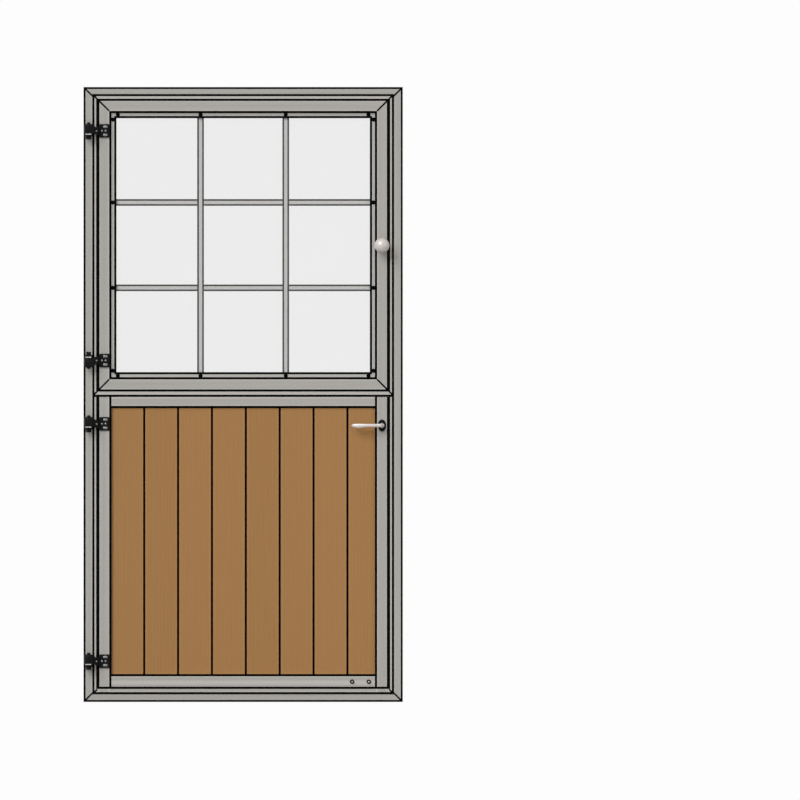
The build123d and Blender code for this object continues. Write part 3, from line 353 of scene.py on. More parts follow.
def seen_directly(material):
    """1 for a ray that shows a surface: from the camera, off a gloss or through a clear sheet, and else 0."""
    rays = add_node(material, "ShaderNodeLightPath").outputs
    off_or_through = calculate(material, "MAXIMUM", rays["Is Glossy Ray"], rays["Is Transmission Ray"])
    return calculate(material, "MAXIMUM", rays["Is Camera Ray"], off_or_through)


def anodised_aluminium(name, finishes, level, outline=None, lines=(), ways="both"):
    """Anodised aluminium extrusion: satin grey with faint die lines along the bar.

    A painted highlight makes the coat paler beside each line, given as a distance inwards from the outline.
    """
    material, shader = new_material(name, {"Metallic": 0.2, "IOR": 1.5, "Specular IOR Level": 0.25})
    # Die lines are under a millimetre wide and too fine to show, so they are drawn 6 mm apart
    across, along = 160.0, 1.2
    stretch = (along, across, across) if level else (across, across, along)
    streaks = noise(material, place(material, stretch), detail=4.0, roughness=0.6)
    tone = between(material, streaks, 0.0, 0.3)
    if lines:
        _, x, _, z = position(material)
        ends = []
        if ways in ("both", "x"):
            ends.append(from_ends(material, x, outline[0], outline[1]))
        if ways in ("both", "z"):
            ends.append(from_ends(material, z, outline[2], outline[3]))
        inset = nearest(material, ends)
        gaps = [
            calculate(material, "ABSOLUTE", calculate(material, "SUBTRACT", inset, line)) for line in lines
        ]
        # Painted highlight: wholly pale for 5 mm beside a line, and back to grey at 13 mm
        beside = between(material, nearest(material, gaps), 1.0, 0.0, 5 * MM, 13 * MM)
        tone = calculate(material, "MAXIMUM", tone, beside)
    base = blend_colours(material, tone, finishes.aluminium, finishes.aluminium_painted_highlight)
    connect(material, between(material, streaks, 0.42, 0.56), shader, "Roughness")
    raise_surface(material, shader, streaks, 0.05 * MM, 0.5)
    connect(material, base, shader, "Base Color")
    return material


def marked(name, values, scale, colours, share, roughness, detail=3.0, bump=None):
    """A material of two colours in soft marks, which change its roughness too, and its relief if asked.

    The scale is in marks a metre along each axis, the share says how much of the second colour the marks
    bring in, and the bump is a depth in metres and a strength.
    """
    material, shader = new_material(name, values)
    marks = noise(material, place(material, scale), detail)
    base = blend_colours(material, between(material, marks, 0.0, share), *colours)
    connect(material, base, shader, "Base Color")
    connect(material, between(material, marks, *roughness), shader, "Roughness")
    if bump:
        raise_surface(material, shader, marks, *bump)
    return material


def pane_lightened_aluminium(finishes):
    """Clear anodised aluminium of the glazing bars, in marks about 8 mm apart, painted paler than the outer
    bars to make up for the shade that the pane casts on them.
    """
    values = {"Metallic": 0.1, "IOR": 1.5, "Specular IOR Level": 0.25}
    return marked(
        "clear_anodised_aluminium", values, (120.0, 120.0, 120.0), (finishes.muntin, finishes.muntin_dark),
        0.5, (0.45, 0.6), detail=4.0, bump=(0.04 * MM, 0.5),
    )


def oiled_larch(finishes):
    """Planed and oiled larch: warm brown, with upright grain that differs from board to board."""
    material, shader = new_material("planed_larch_oiled", {"Specular IOR Level": 0.2})
    coordinates, x, _, z = position(material)
    across = calculate(material, "SUBTRACT", x, boards_left)
    board_number = calculate(material, "FLOOR", calculate(material, "DIVIDE", across, board_pitch))
    # Each board is cut from another place of the wood
    shift = add_node(
        material, "ShaderNodeCombineXYZ",
        {0: calculate(material, "MULTIPLY", board_number, 0.731),
         1: calculate(material, "MULTIPLY", board_number, 0.317),
         2: calculate(material, "MULTIPLY", board_number, 3.113)},
    ).outputs[0]
    shifted = add_node(
        material, "ShaderNodeVectorMath", {0: coordinates, 1: shift}, operation="ADD"
    ).outputs[0]
    stretched = add_node(
        material, "ShaderNodeMapping", {"Vector": shifted, "Scale": (1.0, 1.0, 0.11)}
    ).outputs["Vector"]
    # Growth rings are 4 to 8 mm apart on the face of a board, and are drawn 13 mm apart to show
    rings = add_node(
        material, "ShaderNodeTexWave",
        {"Vector": stretched, "Scale": 24.0, "Distortion": 5.0, "Detail": 2.5, "Detail Scale": 1.2},
        bands_direction="X", wave_profile="SAW",
    ).outputs["Fac"]
    # Fibres run upright, about 2 mm apart and 100 mm long
    fine = add_node(material, "ShaderNodeMapping", {"Vector": shifted, "Scale": (420.0, 420.0, 9.0)})
    fibres = noise(material, fine.outputs["Vector"], detail=2.0)
    board_tone = add_node(
        material, "ShaderNodeTexWhiteNoise", {"W": board_number}, noise_dimensions="1D"
    ).outputs["Value"]
    grain = blend_colours(
        material, between(material, rings, 0.0, 0.5, 0.0, 1.0), finishes.board, finishes.board_dark
    )
    toned = blend_colours(
        material, between(material, board_tone, 0.0, 0.25, 0.0, 1.0), grain, finishes.board_pale
    )
    fibrous = blend_colours(material, between(material, fibres, 0.0, 0.3), toned, finishes.board_pale)
    # The boards turn paler within 13 mm of their joints and edges
    from_joint = calculate(material, "PINGPONG", across, board_pitch / 2)
    edges = nearest(material, [
        from_joint,
        calculate(material, "SUBTRACT", boards_right, x),
        from_ends(material, z, lower_panel[0], lower_panel[1]),
    ])
    paler_near_edges = between(material, edges, 0.75, 0.0, 4 * MM, 13 * MM)
    base = blend_colours(material, paler_near_edges, fibrous, finishes.board_pale)
    connect(material, base, shader, "Base Color")
    connect(material, between(material, fibres, 0.55, 0.72), shader, "Roughness")
    raise_surface(material, shader, calculate(material, "ADD", fibres, rings), 0.12 * MM, 0.5)
    return material


def clear_polycarbonate(finishes):
    """Extruded polycarbonate sheet: faintly grey in clouds of 400 mm, so what is behind it shows softened."""
    values = {"IOR": 1.58, "Alpha": 0.125, "Specular IOR Level": 0.2}
    return marked(
        "polycarbonate_sheet", values, (2.5, 2.5, 2.5), (finishes.glazing, finishes.glazing_dark),
        1.0, (0.2, 0.28), detail=2.0,
    )


def coated_iron(finishes):
    """Black coated malleable iron: a fine cast texture under a satin coat."""
    material, shader = new_material(IRON, {"IOR": 1.5, "Specular IOR Level": 0.12})
    # Moulding sand leaves grains 1.4 mm apart, and hands rub spots about 17 mm across
    cast = noise(material, place(material, (700.0, 700.0, 700.0)))
    wear = noise(material, place(material, (60.0, 60.0, 60.0)), detail=2.0)
    base = blend_colours(
        material, between(material, wear, 0.0, 1.0, 0.5, 0.8), finishes.coated_iron, finishes.iron_worn
    )
    connect(material, base, shader, "Base Color")
    connect(material, between(material, wear, 0.36, 0.5), shader, "Roughness")
    raise_surface(material, shader, cast, 0.15 * MM, 0.6)
    return material


def plain_metal(name, colour_value, dark, roughness, grain_scale=(300.0, 300.0, 300.0), metallic=1.0):
    """A plated, cast or brushed metal with fine marks, here 3 mm apart, that change its gloss a little."""
    return marked(
        name, {"Metallic": metallic}, grain_scale, (colour_value, dark), 1.0,
        (roughness - 0.05, roughness + 0.07), bump=(0.02 * MM, 0.4),
    )


def black_matt(name, finishes, colour_value, roughness):
    """A matt black with a faint bloom in spots of about 12 mm, as rubber and joint filler have."""
    values = {"IOR": 1.5, "Specular IOR Level": 0.04}
    return marked(
        name, values, (80.0, 80.0, 80.0), (colour_value, finishes.bloom), 1.0, (roughness, roughness + 0.15)
    )


def deselect():
    bpy.ops.object.select_all(action="DESELECT")


def use(piece):
    """Makes a piece the only selected one."""
    deselect()
    piece.select_set(True)
    bpy.context.view_layer.objects.active = piece


def join(pieces):
    """Joins pieces into the first of them."""
    deselect()
    for piece in pieces:
        piece.select_set(True)
    bpy.context.view_layer.objects.active = pieces[0]
    if len(pieces) > 1:
        bpy.ops.object.join()
    return pieces[0]


def apply_placement():
    """Gives the selected pieces' place, turn and size to their meshes."""
    bpy.ops.object.transform_apply(location=True, rotation=True, scale=True)


def edit_all():
    """Enters edit mode with everything selected."""
    bpy.ops.object.mode_set(mode="EDIT")
    bpy.ops.mesh.select_all(action="SELECT")


def edit_where(piece, chosen):
    """Enters edit mode with the vertices that pass a test, and the edges and faces between them, selected."""
    bpy.ops.object.mode_set(mode="OBJECT")
    picked = [chosen(vertex) for vertex in piece.data.vertices]
    for vertex in piece.data.vertices:
        vertex.select = picked[vertex.index]
    for part in (*piece.data.edges, *piece.data.polygons):
        part.select = all(picked[index] for index in part.vertices)
    bpy.ops.object.mode_set(mode="EDIT")


def extrude(x, y, z):
    """Extrudes what is selected by a reach along each axis."""
    bpy.ops.mesh.extrude_region_move(TRANSFORM_OT_translate={"value": (x, y, z)})


def set_down(piece, foot, axis):
    """Stands a piece, modelled upright at the origin, on a foot along an axis."""
    use(piece)
    piece.rotation_mode = "QUATERNION"
    piece.rotation_quaternion = UP.rotation_difference(axis)
    piece.location = foot
    apply_placement()


def copies(piece, places):
    """The piece at each place, given by a foot and an axis, joined into one object."""
    made = []
    for foot, axis in places:
        other = piece.copy()
        other.data = piece.data.copy()
        bpy.context.collection.objects.link(other)
        set_down(other, foot, axis)
        made.append(other)
    bpy.data.objects.remove(piece)
    return join(made)


def leave_edit_mode(merge=False, smooth=None):
    """Turns all faces outwards and leaves edit mode, with doubles merged and curves shaded smooth if asked.

    Faces that meet at less than the angle in degrees are shaded smooth.
    """
    bpy.ops.mesh.select_all(action="SELECT")
    if merge:
        bpy.ops.mesh.remove_doubles(threshold=MERGE_DISTANCE)
    bpy.ops.mesh.normals_make_consistent(inside=False)
    bpy.ops.object.mode_set(mode="OBJECT")
    if smooth:
        bpy.ops.object.shade_smooth_by_angle(angle=math.radians(smooth))


def round_edges(piece, width, segments, smooth, sharper_than=30):
    """Rounds the edges that are sharper than an angle in degrees, and shades curves smooth."""
    use(piece)
    rounding = piece.modifiers.new("rounding", "BEVEL")
    rounding.width = width
    rounding.segments = segments
    rounding.limit_method = "ANGLE"
    rounding.angle_limit = math.radians(sharper_than)
    bpy.ops.object.modifier_apply(modifier=rounding.name)
    bpy.ops.object.shade_smooth_by_angle(angle=math.radians(smooth))


def turned(name, profile, steps):
    """A piece turned about Z: a profile of (radius, height) points, spun once round."""
    deselect()
    bpy.ops.mesh.primitive_plane_add(size=MM)
    piece = bpy.context.object
    piece.name = name
    edit_all()
    bpy.ops.mesh.merge(type="CENTER")
    bpy.ops.transform.translate(value=(profile[0][0], 0, profile[0][1]))
    for (radius, height), (next_radius, next_height) in zip(profile, profile[1:]):
        extrude(next_radius - radius, 0, next_height - height)
    bpy.ops.mesh.select_all(action="SELECT")
    bpy.ops.mesh.spin(steps=steps, angle=math.tau, center=(0, 0, 0), axis=(0, 0, 1))
    leave_edit_mode(merge=True, smooth=35)
    return piece


def arc(centre, radius, start, end, steps):
    """Points of a round stretch of a profile, with angles in degrees from the radius direction."""
    angles = [math.radians(start + (end - start) * step / steps) for step in range(steps + 1)]
    return [(centre[0] + radius * math.cos(a), centre[1] + radius * math.sin(a)) for a in angles]


def ringed(name, sections, sides, hollow=False):
    """A bar through oval sections, each a centre, a heading and its half width and half height.

    A hollow one ends at the section that it starts from.
    """
    rings = []
    for centre, heading, half_width, half_height in sections:
        deselect()
        bpy.ops.mesh.primitive_circle_add(vertices=sides, radius=1.0, fill_type="NOTHING")
        ring = bpy.context.object
        ring.scale = (half_width, half_height, 1.0)
        ring.rotation_mode = "QUATERNION"
        ring.rotation_quaternion = heading.to_track_quat("Z", "Y")
        ring.location = centre
        apply_placement()
        rings.append(ring)
    piece = join(rings)
    piece.name = name
    for number in range(len(sections) - 1):
        first, last = number * sides, (number + 2) * sides
        edit_where(piece, lambda vertex: first <= vertex.index < last)
        bpy.ops.mesh.bridge_edge_loops()
    if not hollow:
        bpy.ops.mesh.select_all(action="DESELECT")
        bpy.ops.mesh.select_non_manifold()
        bpy.ops.mesh.fill_holes(sides=0)
    leave_edit_mode(merge=True, smooth=50)
    return piece


def inlay(name, runs, face, stand, bevel=0.0):
    """Flat strips on a face at a depth: each run has a start, an end and a width, seen from the front."""
    strips = []
    for start, end, width in runs:
        run = Vector((end[0] - start[0], 0, end[1] - start[1]))
        middle = Vector(((start[0] + end[0]) / 2, face, (start[1] + end[1]) / 2))
        deselect()
        bpy.ops.mesh.primitive_plane_add(size=1)
        strip = bpy.context.object
        heading = run.normalized()
        side = FRONT.cross(heading)
        turn = Matrix((heading, side, FRONT)).transposed().to_4x4()
        strip.matrix_world = Matrix.Translation(middle) @ turn @ Matrix.Diagonal((run.length, width, 1, 1))
        apply_placement()
        strips.append(strip)
    piece = join(strips)
    piece.name = name
    edit_all()
    extrude(0, -stand, 0)
    leave_edit_mode()
    if bevel:
        round_edges(piece, bevel, 3, smooth=40)
    return piece


def moulding(name, outline, profile, face):
    """A mitred moulding round an outline: a closed profile of (inset, height) points above a face."""
    left, right, foot, top = outline
    middle = Vector(((left + right) / 2, face, (foot + top) / 2))
    deselect()
    bpy.ops.mesh.primitive_plane_add(size=1, location=middle, rotation=(math.pi / 2, 0, 0))
    piece = bpy.context.object
    piece.name = name
    apply_placement()
    edit_all()
    bpy.ops.mesh.delete(type="ONLY_FACE")
    bpy.ops.mesh.select_all(action="SELECT")
    # The ring is extruded, scaled and moved from point to point of the profile, and back to its first
    wide, high, level = 1.0, 1.0, 0.0
    for number, (inset, height) in enumerate(profile + profile[:1]):
        if number:
            bpy.ops.mesh.extrude_edges_move()
        next_wide, next_high = right - left - 2 * inset, top - foot - 2 * inset
        bpy.ops.transform.resize(value=(next_wide / wide, 1, next_high / high), center_override=middle)
        bpy.ops.transform.translate(value=(0, level - height, 0))
        wide, high, level = next_wide, next_high, height
    leave_edit_mode(merge=True, smooth=35)
    return piece


def cut_out(piece, cutter):
    """Cuts one piece out of another and deletes it."""
    use(piece)
    cut = piece.modifiers.new("cut", "BOOLEAN")
    cut.operation = "DIFFERENCE"
    cut.object = cutter
    bpy.ops.object.modifier_apply(modifier=cut.name)
    bpy.data.objects.remove(cutter)


def cut_cross(piece, width, top, depth):
    """Cuts a cross recess into the top of a screw head that stands on the origin."""
    deselect()
    bpy.ops.mesh.primitive_grid_add(x_subdivisions=3, y_subdivisions=3, size=width,
                                    location=(0, 0, top - depth))
    cutter = bpy.context.object
    apply_placement()
    # A grid of nine squares without its corners is a cross
    reach = width / 6
    for face in cutter.data.polygons:
        face.select = abs(face.center.x) > reach and abs(face.center.y) > reach
    for part in (*cutter.data.edges, *cutter.data.vertices):
        part.select = False
    bpy.ops.object.mode_set(mode="EDIT")
    bpy.ops.mesh.select_mode(type="FACE")
    bpy.ops.mesh.delete(type="FACE")
    bpy.ops.mesh.select_mode(type="VERT")
    bpy.ops.mesh.select_all(action="SELECT")
    extrude(0, 0, 2 * depth)
    leave_edit_mode()
    cut_out(piece, cutter)


def cut_hexagon(piece, across_flats, top, depth):
    """Cuts a hexagon socket into the top of a bolt head that stands on the origin."""
    socket = turned("socket", [
        (0, top - depth), (across_flats / math.sqrt(3), top - depth),
        (across_flats / math.sqrt(3), top + depth), (0, top + depth),
    ], 6)
    cut_out(piece, socket)


def dress(piece, body, slot, material, *nodes):
    """Gives a finished piece its body and its material by name, and hides the nodes it stands for. The slot
    is not used.
    """
    piece.data.materials.clear()
    piece.data.materials.append(bpy.data.materials[material])
    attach(piece, body)
    if nodes:
        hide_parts(*nodes)


def lay(name, body, runs, face, stand, material, bevel=0.0):
    """Lays an inlay on a body as one of its black seals."""
    dress(inlay(name, runs, face, stand, bevel), body, "seal_rubber", material)


def solids_of(node):
    """Boxes of a node's separate solids, found from its mesh, from left to right."""
    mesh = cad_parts[node].data
    parents = list(range(len(mesh.vertices)))

    def root(index):
        while parents[index] != index:
            parents[index] = parents[parents[index]]
            index = parents[index]
        return index

    # The mesh is loose triangles, so points at one place count as one
    seen = {}
    for vertex in mesh.vertices:
        key = tuple(round(value / MERGE_DISTANCE) for value in vertex.co)
        if key in seen:
            parents[root(vertex.index)] = root(seen[key])
        else:
            seen[key] = vertex.index
    for edge in mesh.edges:
        parents[root(edge.vertices[0])] = root(edge.vertices[1])
    groups = {}
    for vertex in mesh.vertices:
        groups.setdefault(root(vertex.index), []).append(vertex.co)
    boxes = []
    for group in groups.values():
        low = Vector([min(point[axis] for point in group) for axis in range(3)])
        high = Vector([max(point[axis] for point in group) for axis in range(3)])
        boxes.append((low, high))
    return sorted(boxes, key=lambda box: (round(box[0].x, 4), round(box[0].z, 4)))


def fronts_of(boxes, face=None):
    """Each box's middle, seen from the front, on a face or on its own front, and the way to the viewer."""
    places = []
    for low, high in boxes:
        middle = (low + high) / 2
        places.append((Vector((middle.x, low.y if face is None else face, middle.z)), FRONT))
    return places


def inset_outline(outline, side, level):
    """An outline moved inwards at its two sides and at its head and foot."""
    left, right, foot, top = outline
    return left + side, right - side, foot + level, top - level


def edge_runs(outline, widths):
    """Runs just inside an outline, with their widths on the left, right, foot and top."""
    left, right, foot, top = outline
    left_width, right_width, foot_width, top_width = widths
    runs = []
    for x, width in ((left + left_width / 2, left_width), (right - right_width / 2, right_width)):
        runs.append(((x, foot), (x, top), width))
    for z, width in ((foot + foot_width / 2, foot_width), (top - top_width / 2, top_width)):
        runs.append(((left + left_width, z), (right - right_width, z), width))
    return [run for run in runs if run[2] > 0]


def mitre_runs(outline, start, end, width, foot_only=False):
    """Diagonal runs over the mitres at an outline's corners, between two distances inwards."""
    left, right, foot, top = outline
    runs = []
    for x, turn_x in ((left, 1), (right, -1)):
        for z, turn_z in ((foot, 1), (top, -1)):
            if foot_only and z == top:
                continue
            runs.append((
                (x + turn_x * start, z + turn_z * start), (x + turn_x * end, z + turn_z * end), width
            ))
    return runs


class DOOR_OT_stage(bpy.types.Operator):
    """Adds the camera, the soft lights, the floor and the backdrop"""

    bl_idname = "door.stage"
    bl_label = "Stage"

    def execute(self, context):
        stage = context.scene.door_stage
        finishes = context.scene.door_finishes
        context.scene.view_settings.view_transform = "Standard"
        deselect()
        bpy.ops.object.camera_add(
            location=(stage.view_centre[0], -stage.camera_distance, stage.view_centre[2]),
            rotation=(math.pi / 2, 0, 0),
        )
        camera = context.object
        camera.data.type = "ORTHO"
        camera.data.ortho_scale = stage.view_width
        context.scene.camera = camera

        door_middle = Vector((0, 0, 1.2))
        # Distant lamps light the door evenly from head to sill, and their wide discs keep it soft
        lamps = (
            ("key_light", Vector((-5.0, -7.2, 7.4)), stage.key_power),
            ("fill_light", Vector((7.5, -6.0, 2.4)), stage.fill_power),
            ("back_light", Vector((3.0, 7.0, 6.0)), stage.back_power),
        )
        for name, lamp_place, power in lamps:
            bpy.ops.object.light_add(type="SUN", location=lamp_place)
            lamp = context.object
            lamp.name = name
            lamp.rotation_mode = "QUATERNION"
            lamp.rotation_quaternion = (door_middle - lamp_place).to_track_quat("-Z", "Y")
            lamp.data.angle = math.radians(stage.lamp_spread)
            lamp.data.energy = power

        bpy.ops.mesh.primitive_plane_add(size=stage.floor_size, location=(0, 0, 0))
        floor = context.object
        floor.name = "studio_floor"
        material, shader = new_material("pale_floor", {"Roughness": 0.85, "Emission Color": finishes.floor})
        clouds = noise(material, place(material, (3.0, 3.0, 3.0)))
        base = blend_colours(material, clouds, finishes.floor_paint, finishes.floor_dark)
        connect(material, base, shader, "Base Color")
        # The floor is lifted to a pale tone where it is seen, and keeps the door's shadow
        glow = calculate(material, "MULTIPLY", seen_directly(material), stage.floor_glow)
        connect(material, glow, shader, "Emission Strength")
        floor.data.materials.append(material)

        world = bpy.data.worlds.new("studio_sky")
        context.scene.world = world
        world.use_nodes = True
        tree = world.node_tree
        light = tree.nodes["Background"]
        light.inputs["Color"].default_value = finishes.backdrop
        light.inputs["Strength"].default_value = stage.sky_strength
        seen = add_node(world, "ShaderNodeBackground", {"Color": finishes.backdrop, "Strength": 1.0})
        mix = add_node(
            world, "ShaderNodeMixShader", {0: seen_directly(world), 1: light.outputs[0], 2: seen.outputs[0]}
        )
        tree.links.new(mix.outputs[0], tree.nodes["World Output"].inputs["Surface"])
        return {"FINISHED"}


class DOOR_OT_finishes(bpy.types.Operator):
    """Gives every bar, board, pane and fitting of the frame its finish"""

    bl_idname = "door.finishes"
    bl_label = "Finishes"

    def execute(self, context):
        finishes = context.scene.door_finishes
        lines = context.scene.door_lines
        self.coat_bars(FRAME_BARS, "frame", finishes, frame_outline, (0.0, leaf_inset))
        stile_line = lines.band_start + lines.band_width / 2
        self.coat_bars(UPPER_BARS, "upper_leaf", finishes, upper_outline, (0.0, stile_line, rebate_inset))
        self.coat_bars(BEADS, "bead", finishes, rebate_outline, (0.0, bead_width))
        stile = anodised_aluminium(
            "anodised_aluminium_lower_stile", finishes, False, lower_outline,
            (0.0, stile_line, boards_left - lower_outline[0]), "x",
        )
        self.coat(stile, "lower_hinge_stile", "lower_latch_stile")
        rail = anodised_aluminium(
            "anodised_aluminium_lower_rail", finishes, True, lower_outline,
            (0.0, lower_outline[3] - lower_panel[1], lower_panel[0] - lower_outline[2]), "z",
        )
        self.coat(rail, "lower_top_rail", "lower_bottom_rail")
        self.coat(pane_lightened_aluminium(finishes), "muntins_level", "muntins_upright")
        self.coat(oiled_larch(finishes), *("board_%d" % number for number in range(1, board_count + 1)))
        self.coat(clear_polycarbonate(finishes), "glass_pane")
        iron = coated_iron(finishes)
        self.coat(iron, *("hinge_bracket_%d" % number for number in HINGES))
        self.coat(iron, *("hinge_arm_%d" % number for number in HINGES))
        self.coat(iron, "hinge_pins", "bracket_screws", "bead_screws", "knob_roses", "lever_roses")
        rubber = black_matt(RUBBER, finishes, finishes.rubber, roughness=0.7)
        self.coat(rubber, "upper_seal", "lower_seal", "glazing_gasket")
        black_matt(FILLER, finishes, finishes.black_line, roughness=0.8)
        steel = plain_metal(STEEL, finishes.steel, finishes.steel_dark, roughness=0.25)
        self.coat(steel, "hinge_washers", "rail_bolts", "upper_keep", "lower_keep", "keep_screws",
                  "upper_latch_case", "lower_latch_case", "upper_latch_bolt", "lower_latch_bolt")
        cast = plain_metal("cast_aluminium_cleat", finishes.aluminium, finishes.cleat_dark, roughness=0.5)
        self.coat(cast, "frame_corner_cleats", "upper_corner_cleats")
        zinc = plain_metal(ZINC, finishes.zinc, finishes.zinc_dark, roughness=0.35)
        self.coat(zinc, "upper_arm_screws", "lower_arm_screws")
        # Brushed: the marks are 25 mm long and 1 mm apart up the handle, and the coat is milky
        satin = plain_metal(SATIN, finishes.satin, finishes.satin_dark, roughness=0.3,
                            grain_scale=(40.0, 40.0, 900.0), metallic=0.12)
        self.coat(satin, "knob_front", "knob_back", "lever_front", "lever_back")
        return {"FINISHED"}

    def coat_bars(self, names, kind, finishes, outline, lines):
        """Coats four mitred bars, with the streaks along each."""
        for level, way in ((True, "level"), (False, "upright")):
            material = anodised_aluminium(
                "anodised_aluminium_%s_%s" % (kind, way), finishes, level, outline, lines
            )
            self.coat(material, *(name for name in names if (name in LEVEL_PIECES) == level))

    def coat(self, material, *names):
        """Gives the frame's nodes their material."""
        for name in names:
            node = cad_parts[name]
            node.data.materials.clear()
            node.data.materials.append(material)


class DOOR_OT_lines(bpy.types.Operator):
    """Lays the black inlays, edge strips and mitre seams on the bars"""

    bl_idname = "door.lines"
    bl_label = "Lines and seams"

    def execute(self, context):
        lines = context.scene.door_lines
        # A seam lies a little lower than the strips that it runs into
        seam_stand = lines.stand * 0.7
        runs = edge_runs(frame_outline, [lines.frame_edge] * 4)
        lay("frame_edge_strip", "frame", runs, frame_front, lines.stand, RUBBER)
        seams = mitre_runs(frame_outline, lines.frame_edge - lines.seam / 2, leaf_inset - lines.seam / 4,
                           lines.seam)
        lay("frame_mitre_seams", "frame", seams, frame_front, seam_stand, FILLER)
        self.upper_lines(lines, seam_stand)
        self.lower_lines(lines, seam_stand)
        return {"FINISHED"}

    def upper_lines(self, lines, seam_stand):
        """Edge strip, bands, rail lines, rebate edge and mitre seams of the upper leaf."""
        edge, band, line = lines.flange_edge, lines.band_width, lines.line_width
        half_line = line / 2
        bands = inset_outline(upper_outline, lines.band_start, lines.line_start)
        around_rebate = inset_outline(rebate_outline, -half_line, -half_line)
        for name, outline, widths, face in (
                ("upper_edge_strip", upper_outline, (edge, edge, lines.meeting_edge, edge), leaf_front),
                ("upper_face_inlay", bands, (band, band, line, line), leaf_front),
                ("rebate_edge_strip", around_rebate, [half_line] * 4, leaf_front),
                ("bead_back_seal", rebate_outline, [half_line] * 4, bead_front)):
            lay(name, "upper_leaf", edge_runs(outline, widths), face, lines.stand, RUBBER)
        seams = mitre_runs(upper_outline, edge - lines.seam / 4, rebate_inset - half_line, lines.seam)
        lay("upper_mitre_seams", "upper_leaf", seams, leaf_front, seam_stand, FILLER)

    def lower_lines(self, lines, seam_stand):
        """Edge strip, trim, bands, foot line, butt joints and mitre seams of the lower leaf."""
        left, right, foot, top = lower_outline
        edge, band, line = lines.flange_edge, lines.band_width, lines.line_width
        runs = edge_runs(lower_outline, (edge, edge, edge, lines.meeting_edge))
        lay("lower_edge_strip", "lower_leaf", runs, leaf_front, lines.stand, RUBBER)
        # The trim on the top edge closes all but a hair of the gap to the upper leaf's seal
        trim_middle = top + lines.meeting_trim / 2
        lay("meeting_trim", "lower_leaf", [((left, trim_middle), (right, trim_middle), lines.meeting_trim)],
            leaf_front + lines.meeting_trim_depth, lines.meeting_trim_depth + lines.stand, RUBBER)
        foot_line, stile_top = foot + lines.foot_line_start, top - lines.meeting_edge
        bands = (left + lines.band_start, right - lines.band_start, foot_line, stile_top)
        lay("lower_face_inlay", "lower_leaf", edge_runs(bands, (band, band, line, 0)), leaf_front,
            lines.stand, RUBBER)
        # Wide lines over the butt joints, and half lines round the boards, which seal the other halves
        half_line = line / 2
        runs = [((x, foot_line + line), (x, stile_top), line) for x in (boards_left, boards_right)]
        for z in (lower_panel[0] - half_line / 2, lower_panel[1] + half_line / 2):
            runs.append(((boards_left + half_line, z), (boards_right - half_line, z), half_line))
        lay("lower_joint_lines", "lower_leaf", runs, leaf_front, lines.stand, FILLER)
        seams = mitre_runs(lower_outline, edge - lines.seam / 4, lines.band_start + lines.seam / 2,
                           lines.seam, foot_only=True)
        lay("lower_mitre_seams", "lower_leaf", seams, leaf_front, seam_stand, FILLER)


class DOOR_OT_glazing(bpy.types.Operator):
    """Beds the pane: a rounded black gasket along the beads and tape between the pane and its bars"""

    bl_idname = "door.glazing"
    bl_label = "Glazing"

    def execute(self, context):
        lines = context.scene.door_lines
        bead_thick = pane_front - bead_front
        on_bead, on_pane = bead_width - lines.line_width / 2, bead_width + lines.line_width / 2
        # The gasket stays this clear of the bead and the pane that it lies on
        clear = 0.05 * MM
        # From its edge on the bead, over the bead's corner, down to the pane and back underneath
        profile = [
            (on_bead, bead_thick + clear), (on_bead + 0.4 * MM, bead_thick + 0.6 * MM),
            (bead_width - 1.0 * MM, bead_thick + 0.8 * MM), (bead_width + 1.2 * MM, bead_thick + 0.4 * MM),
            (on_pane - 0.8 * MM, 2.2 * MM), (on_pane, clear),
            (bead_width + 2 * clear, clear), (bead_width + 2 * clear, bead_thick - 2.0 * MM),
            (bead_width - 2.0 * MM, bead_thick + clear),
        ]
        seal = moulding("pane_face_gasket", rebate_outline, profile, pane_front)
        dress(seal, "upper_leaf", "seal_rubber", RUBBER)

        # Tape runs along both edges of each glazing bar, and stops where the bars cross
        sight_left, sight_right, sight_foot, sight_top = inset_outline(rebate_outline, bead_width, bead_width)
        uprights = self.bar_middles("muntins_upright", 0)
        low, high = solids_of("muntins_upright")[0]
        reach = (high.x - low.x) / 2
        runs = []
        stops = [sight_left]
        for x in uprights:
            for edge in (x - reach, x + reach):
                runs.append(((edge, sight_foot), (edge, sight_top), lines.tape))
            stops += [x - reach - lines.tape / 2, x + reach + lines.tape / 2]
        stops.append(sight_right)
        for z in self.bar_middles("muntins_level", 2):
            for edge in (z - reach, z + reach):
                for start, end in zip(stops[::2], stops[1::2]):
                    runs.append(((start, edge), (end, edge), lines.tape))
        # It fills most of the gap between the bars and the pane, and stays a hair clear of the bars
        thick, hair = 0.8 * (muntins_front - pane_back), 0.02 * MM
        lay("glazing_tape", "upper_leaf", runs, muntins_front - hair, thick, RUBBER)
        return {"FINISHED"}

    def bar_middles(self, node, axis):
        """Middles of a node's glazing bars along an axis."""
        middles = []
        for low, high in solids_of(node):
            middle = (low[axis] + high[axis]) / 2
            if all(abs(middle - other) > MM for other in middles):
                middles.append(middle)
        return sorted(middles)


class DOOR_OT_joints(bpy.types.Operator):
    """Lays a rounded black bead in each joint of the boards, in front and behind"""

    bl_idname = "door.joints"
    bl_label = "Board joints"

    def execute(self, context):
        lines = context.scene.door_lines
        foot, top = lower_panel
        stand = lines.joint_stand
        joints = [boards_left + number * board_pitch for number in range(1, board_count)]
        runs = [((x, foot), (x, top), lines.joint) for x in joints]
        for name, face in (("board_joint_beads_front", board_front),
                           ("board_joint_beads_back", board_back + stand)):
            lay(name, "lower_leaf", runs, face, stand, FILLER, bevel=stand * 0.6)
        # The boards' edges are sealed to the stiles and rails
        panel = (boards_left, boards_right, foot, top)
        runs = edge_runs(panel, [lines.line_width / 2] * 4)
        lay("panel_edge_seal", "lower_leaf", runs, board_front, stand, FILLER)
        return {"FINISHED"}


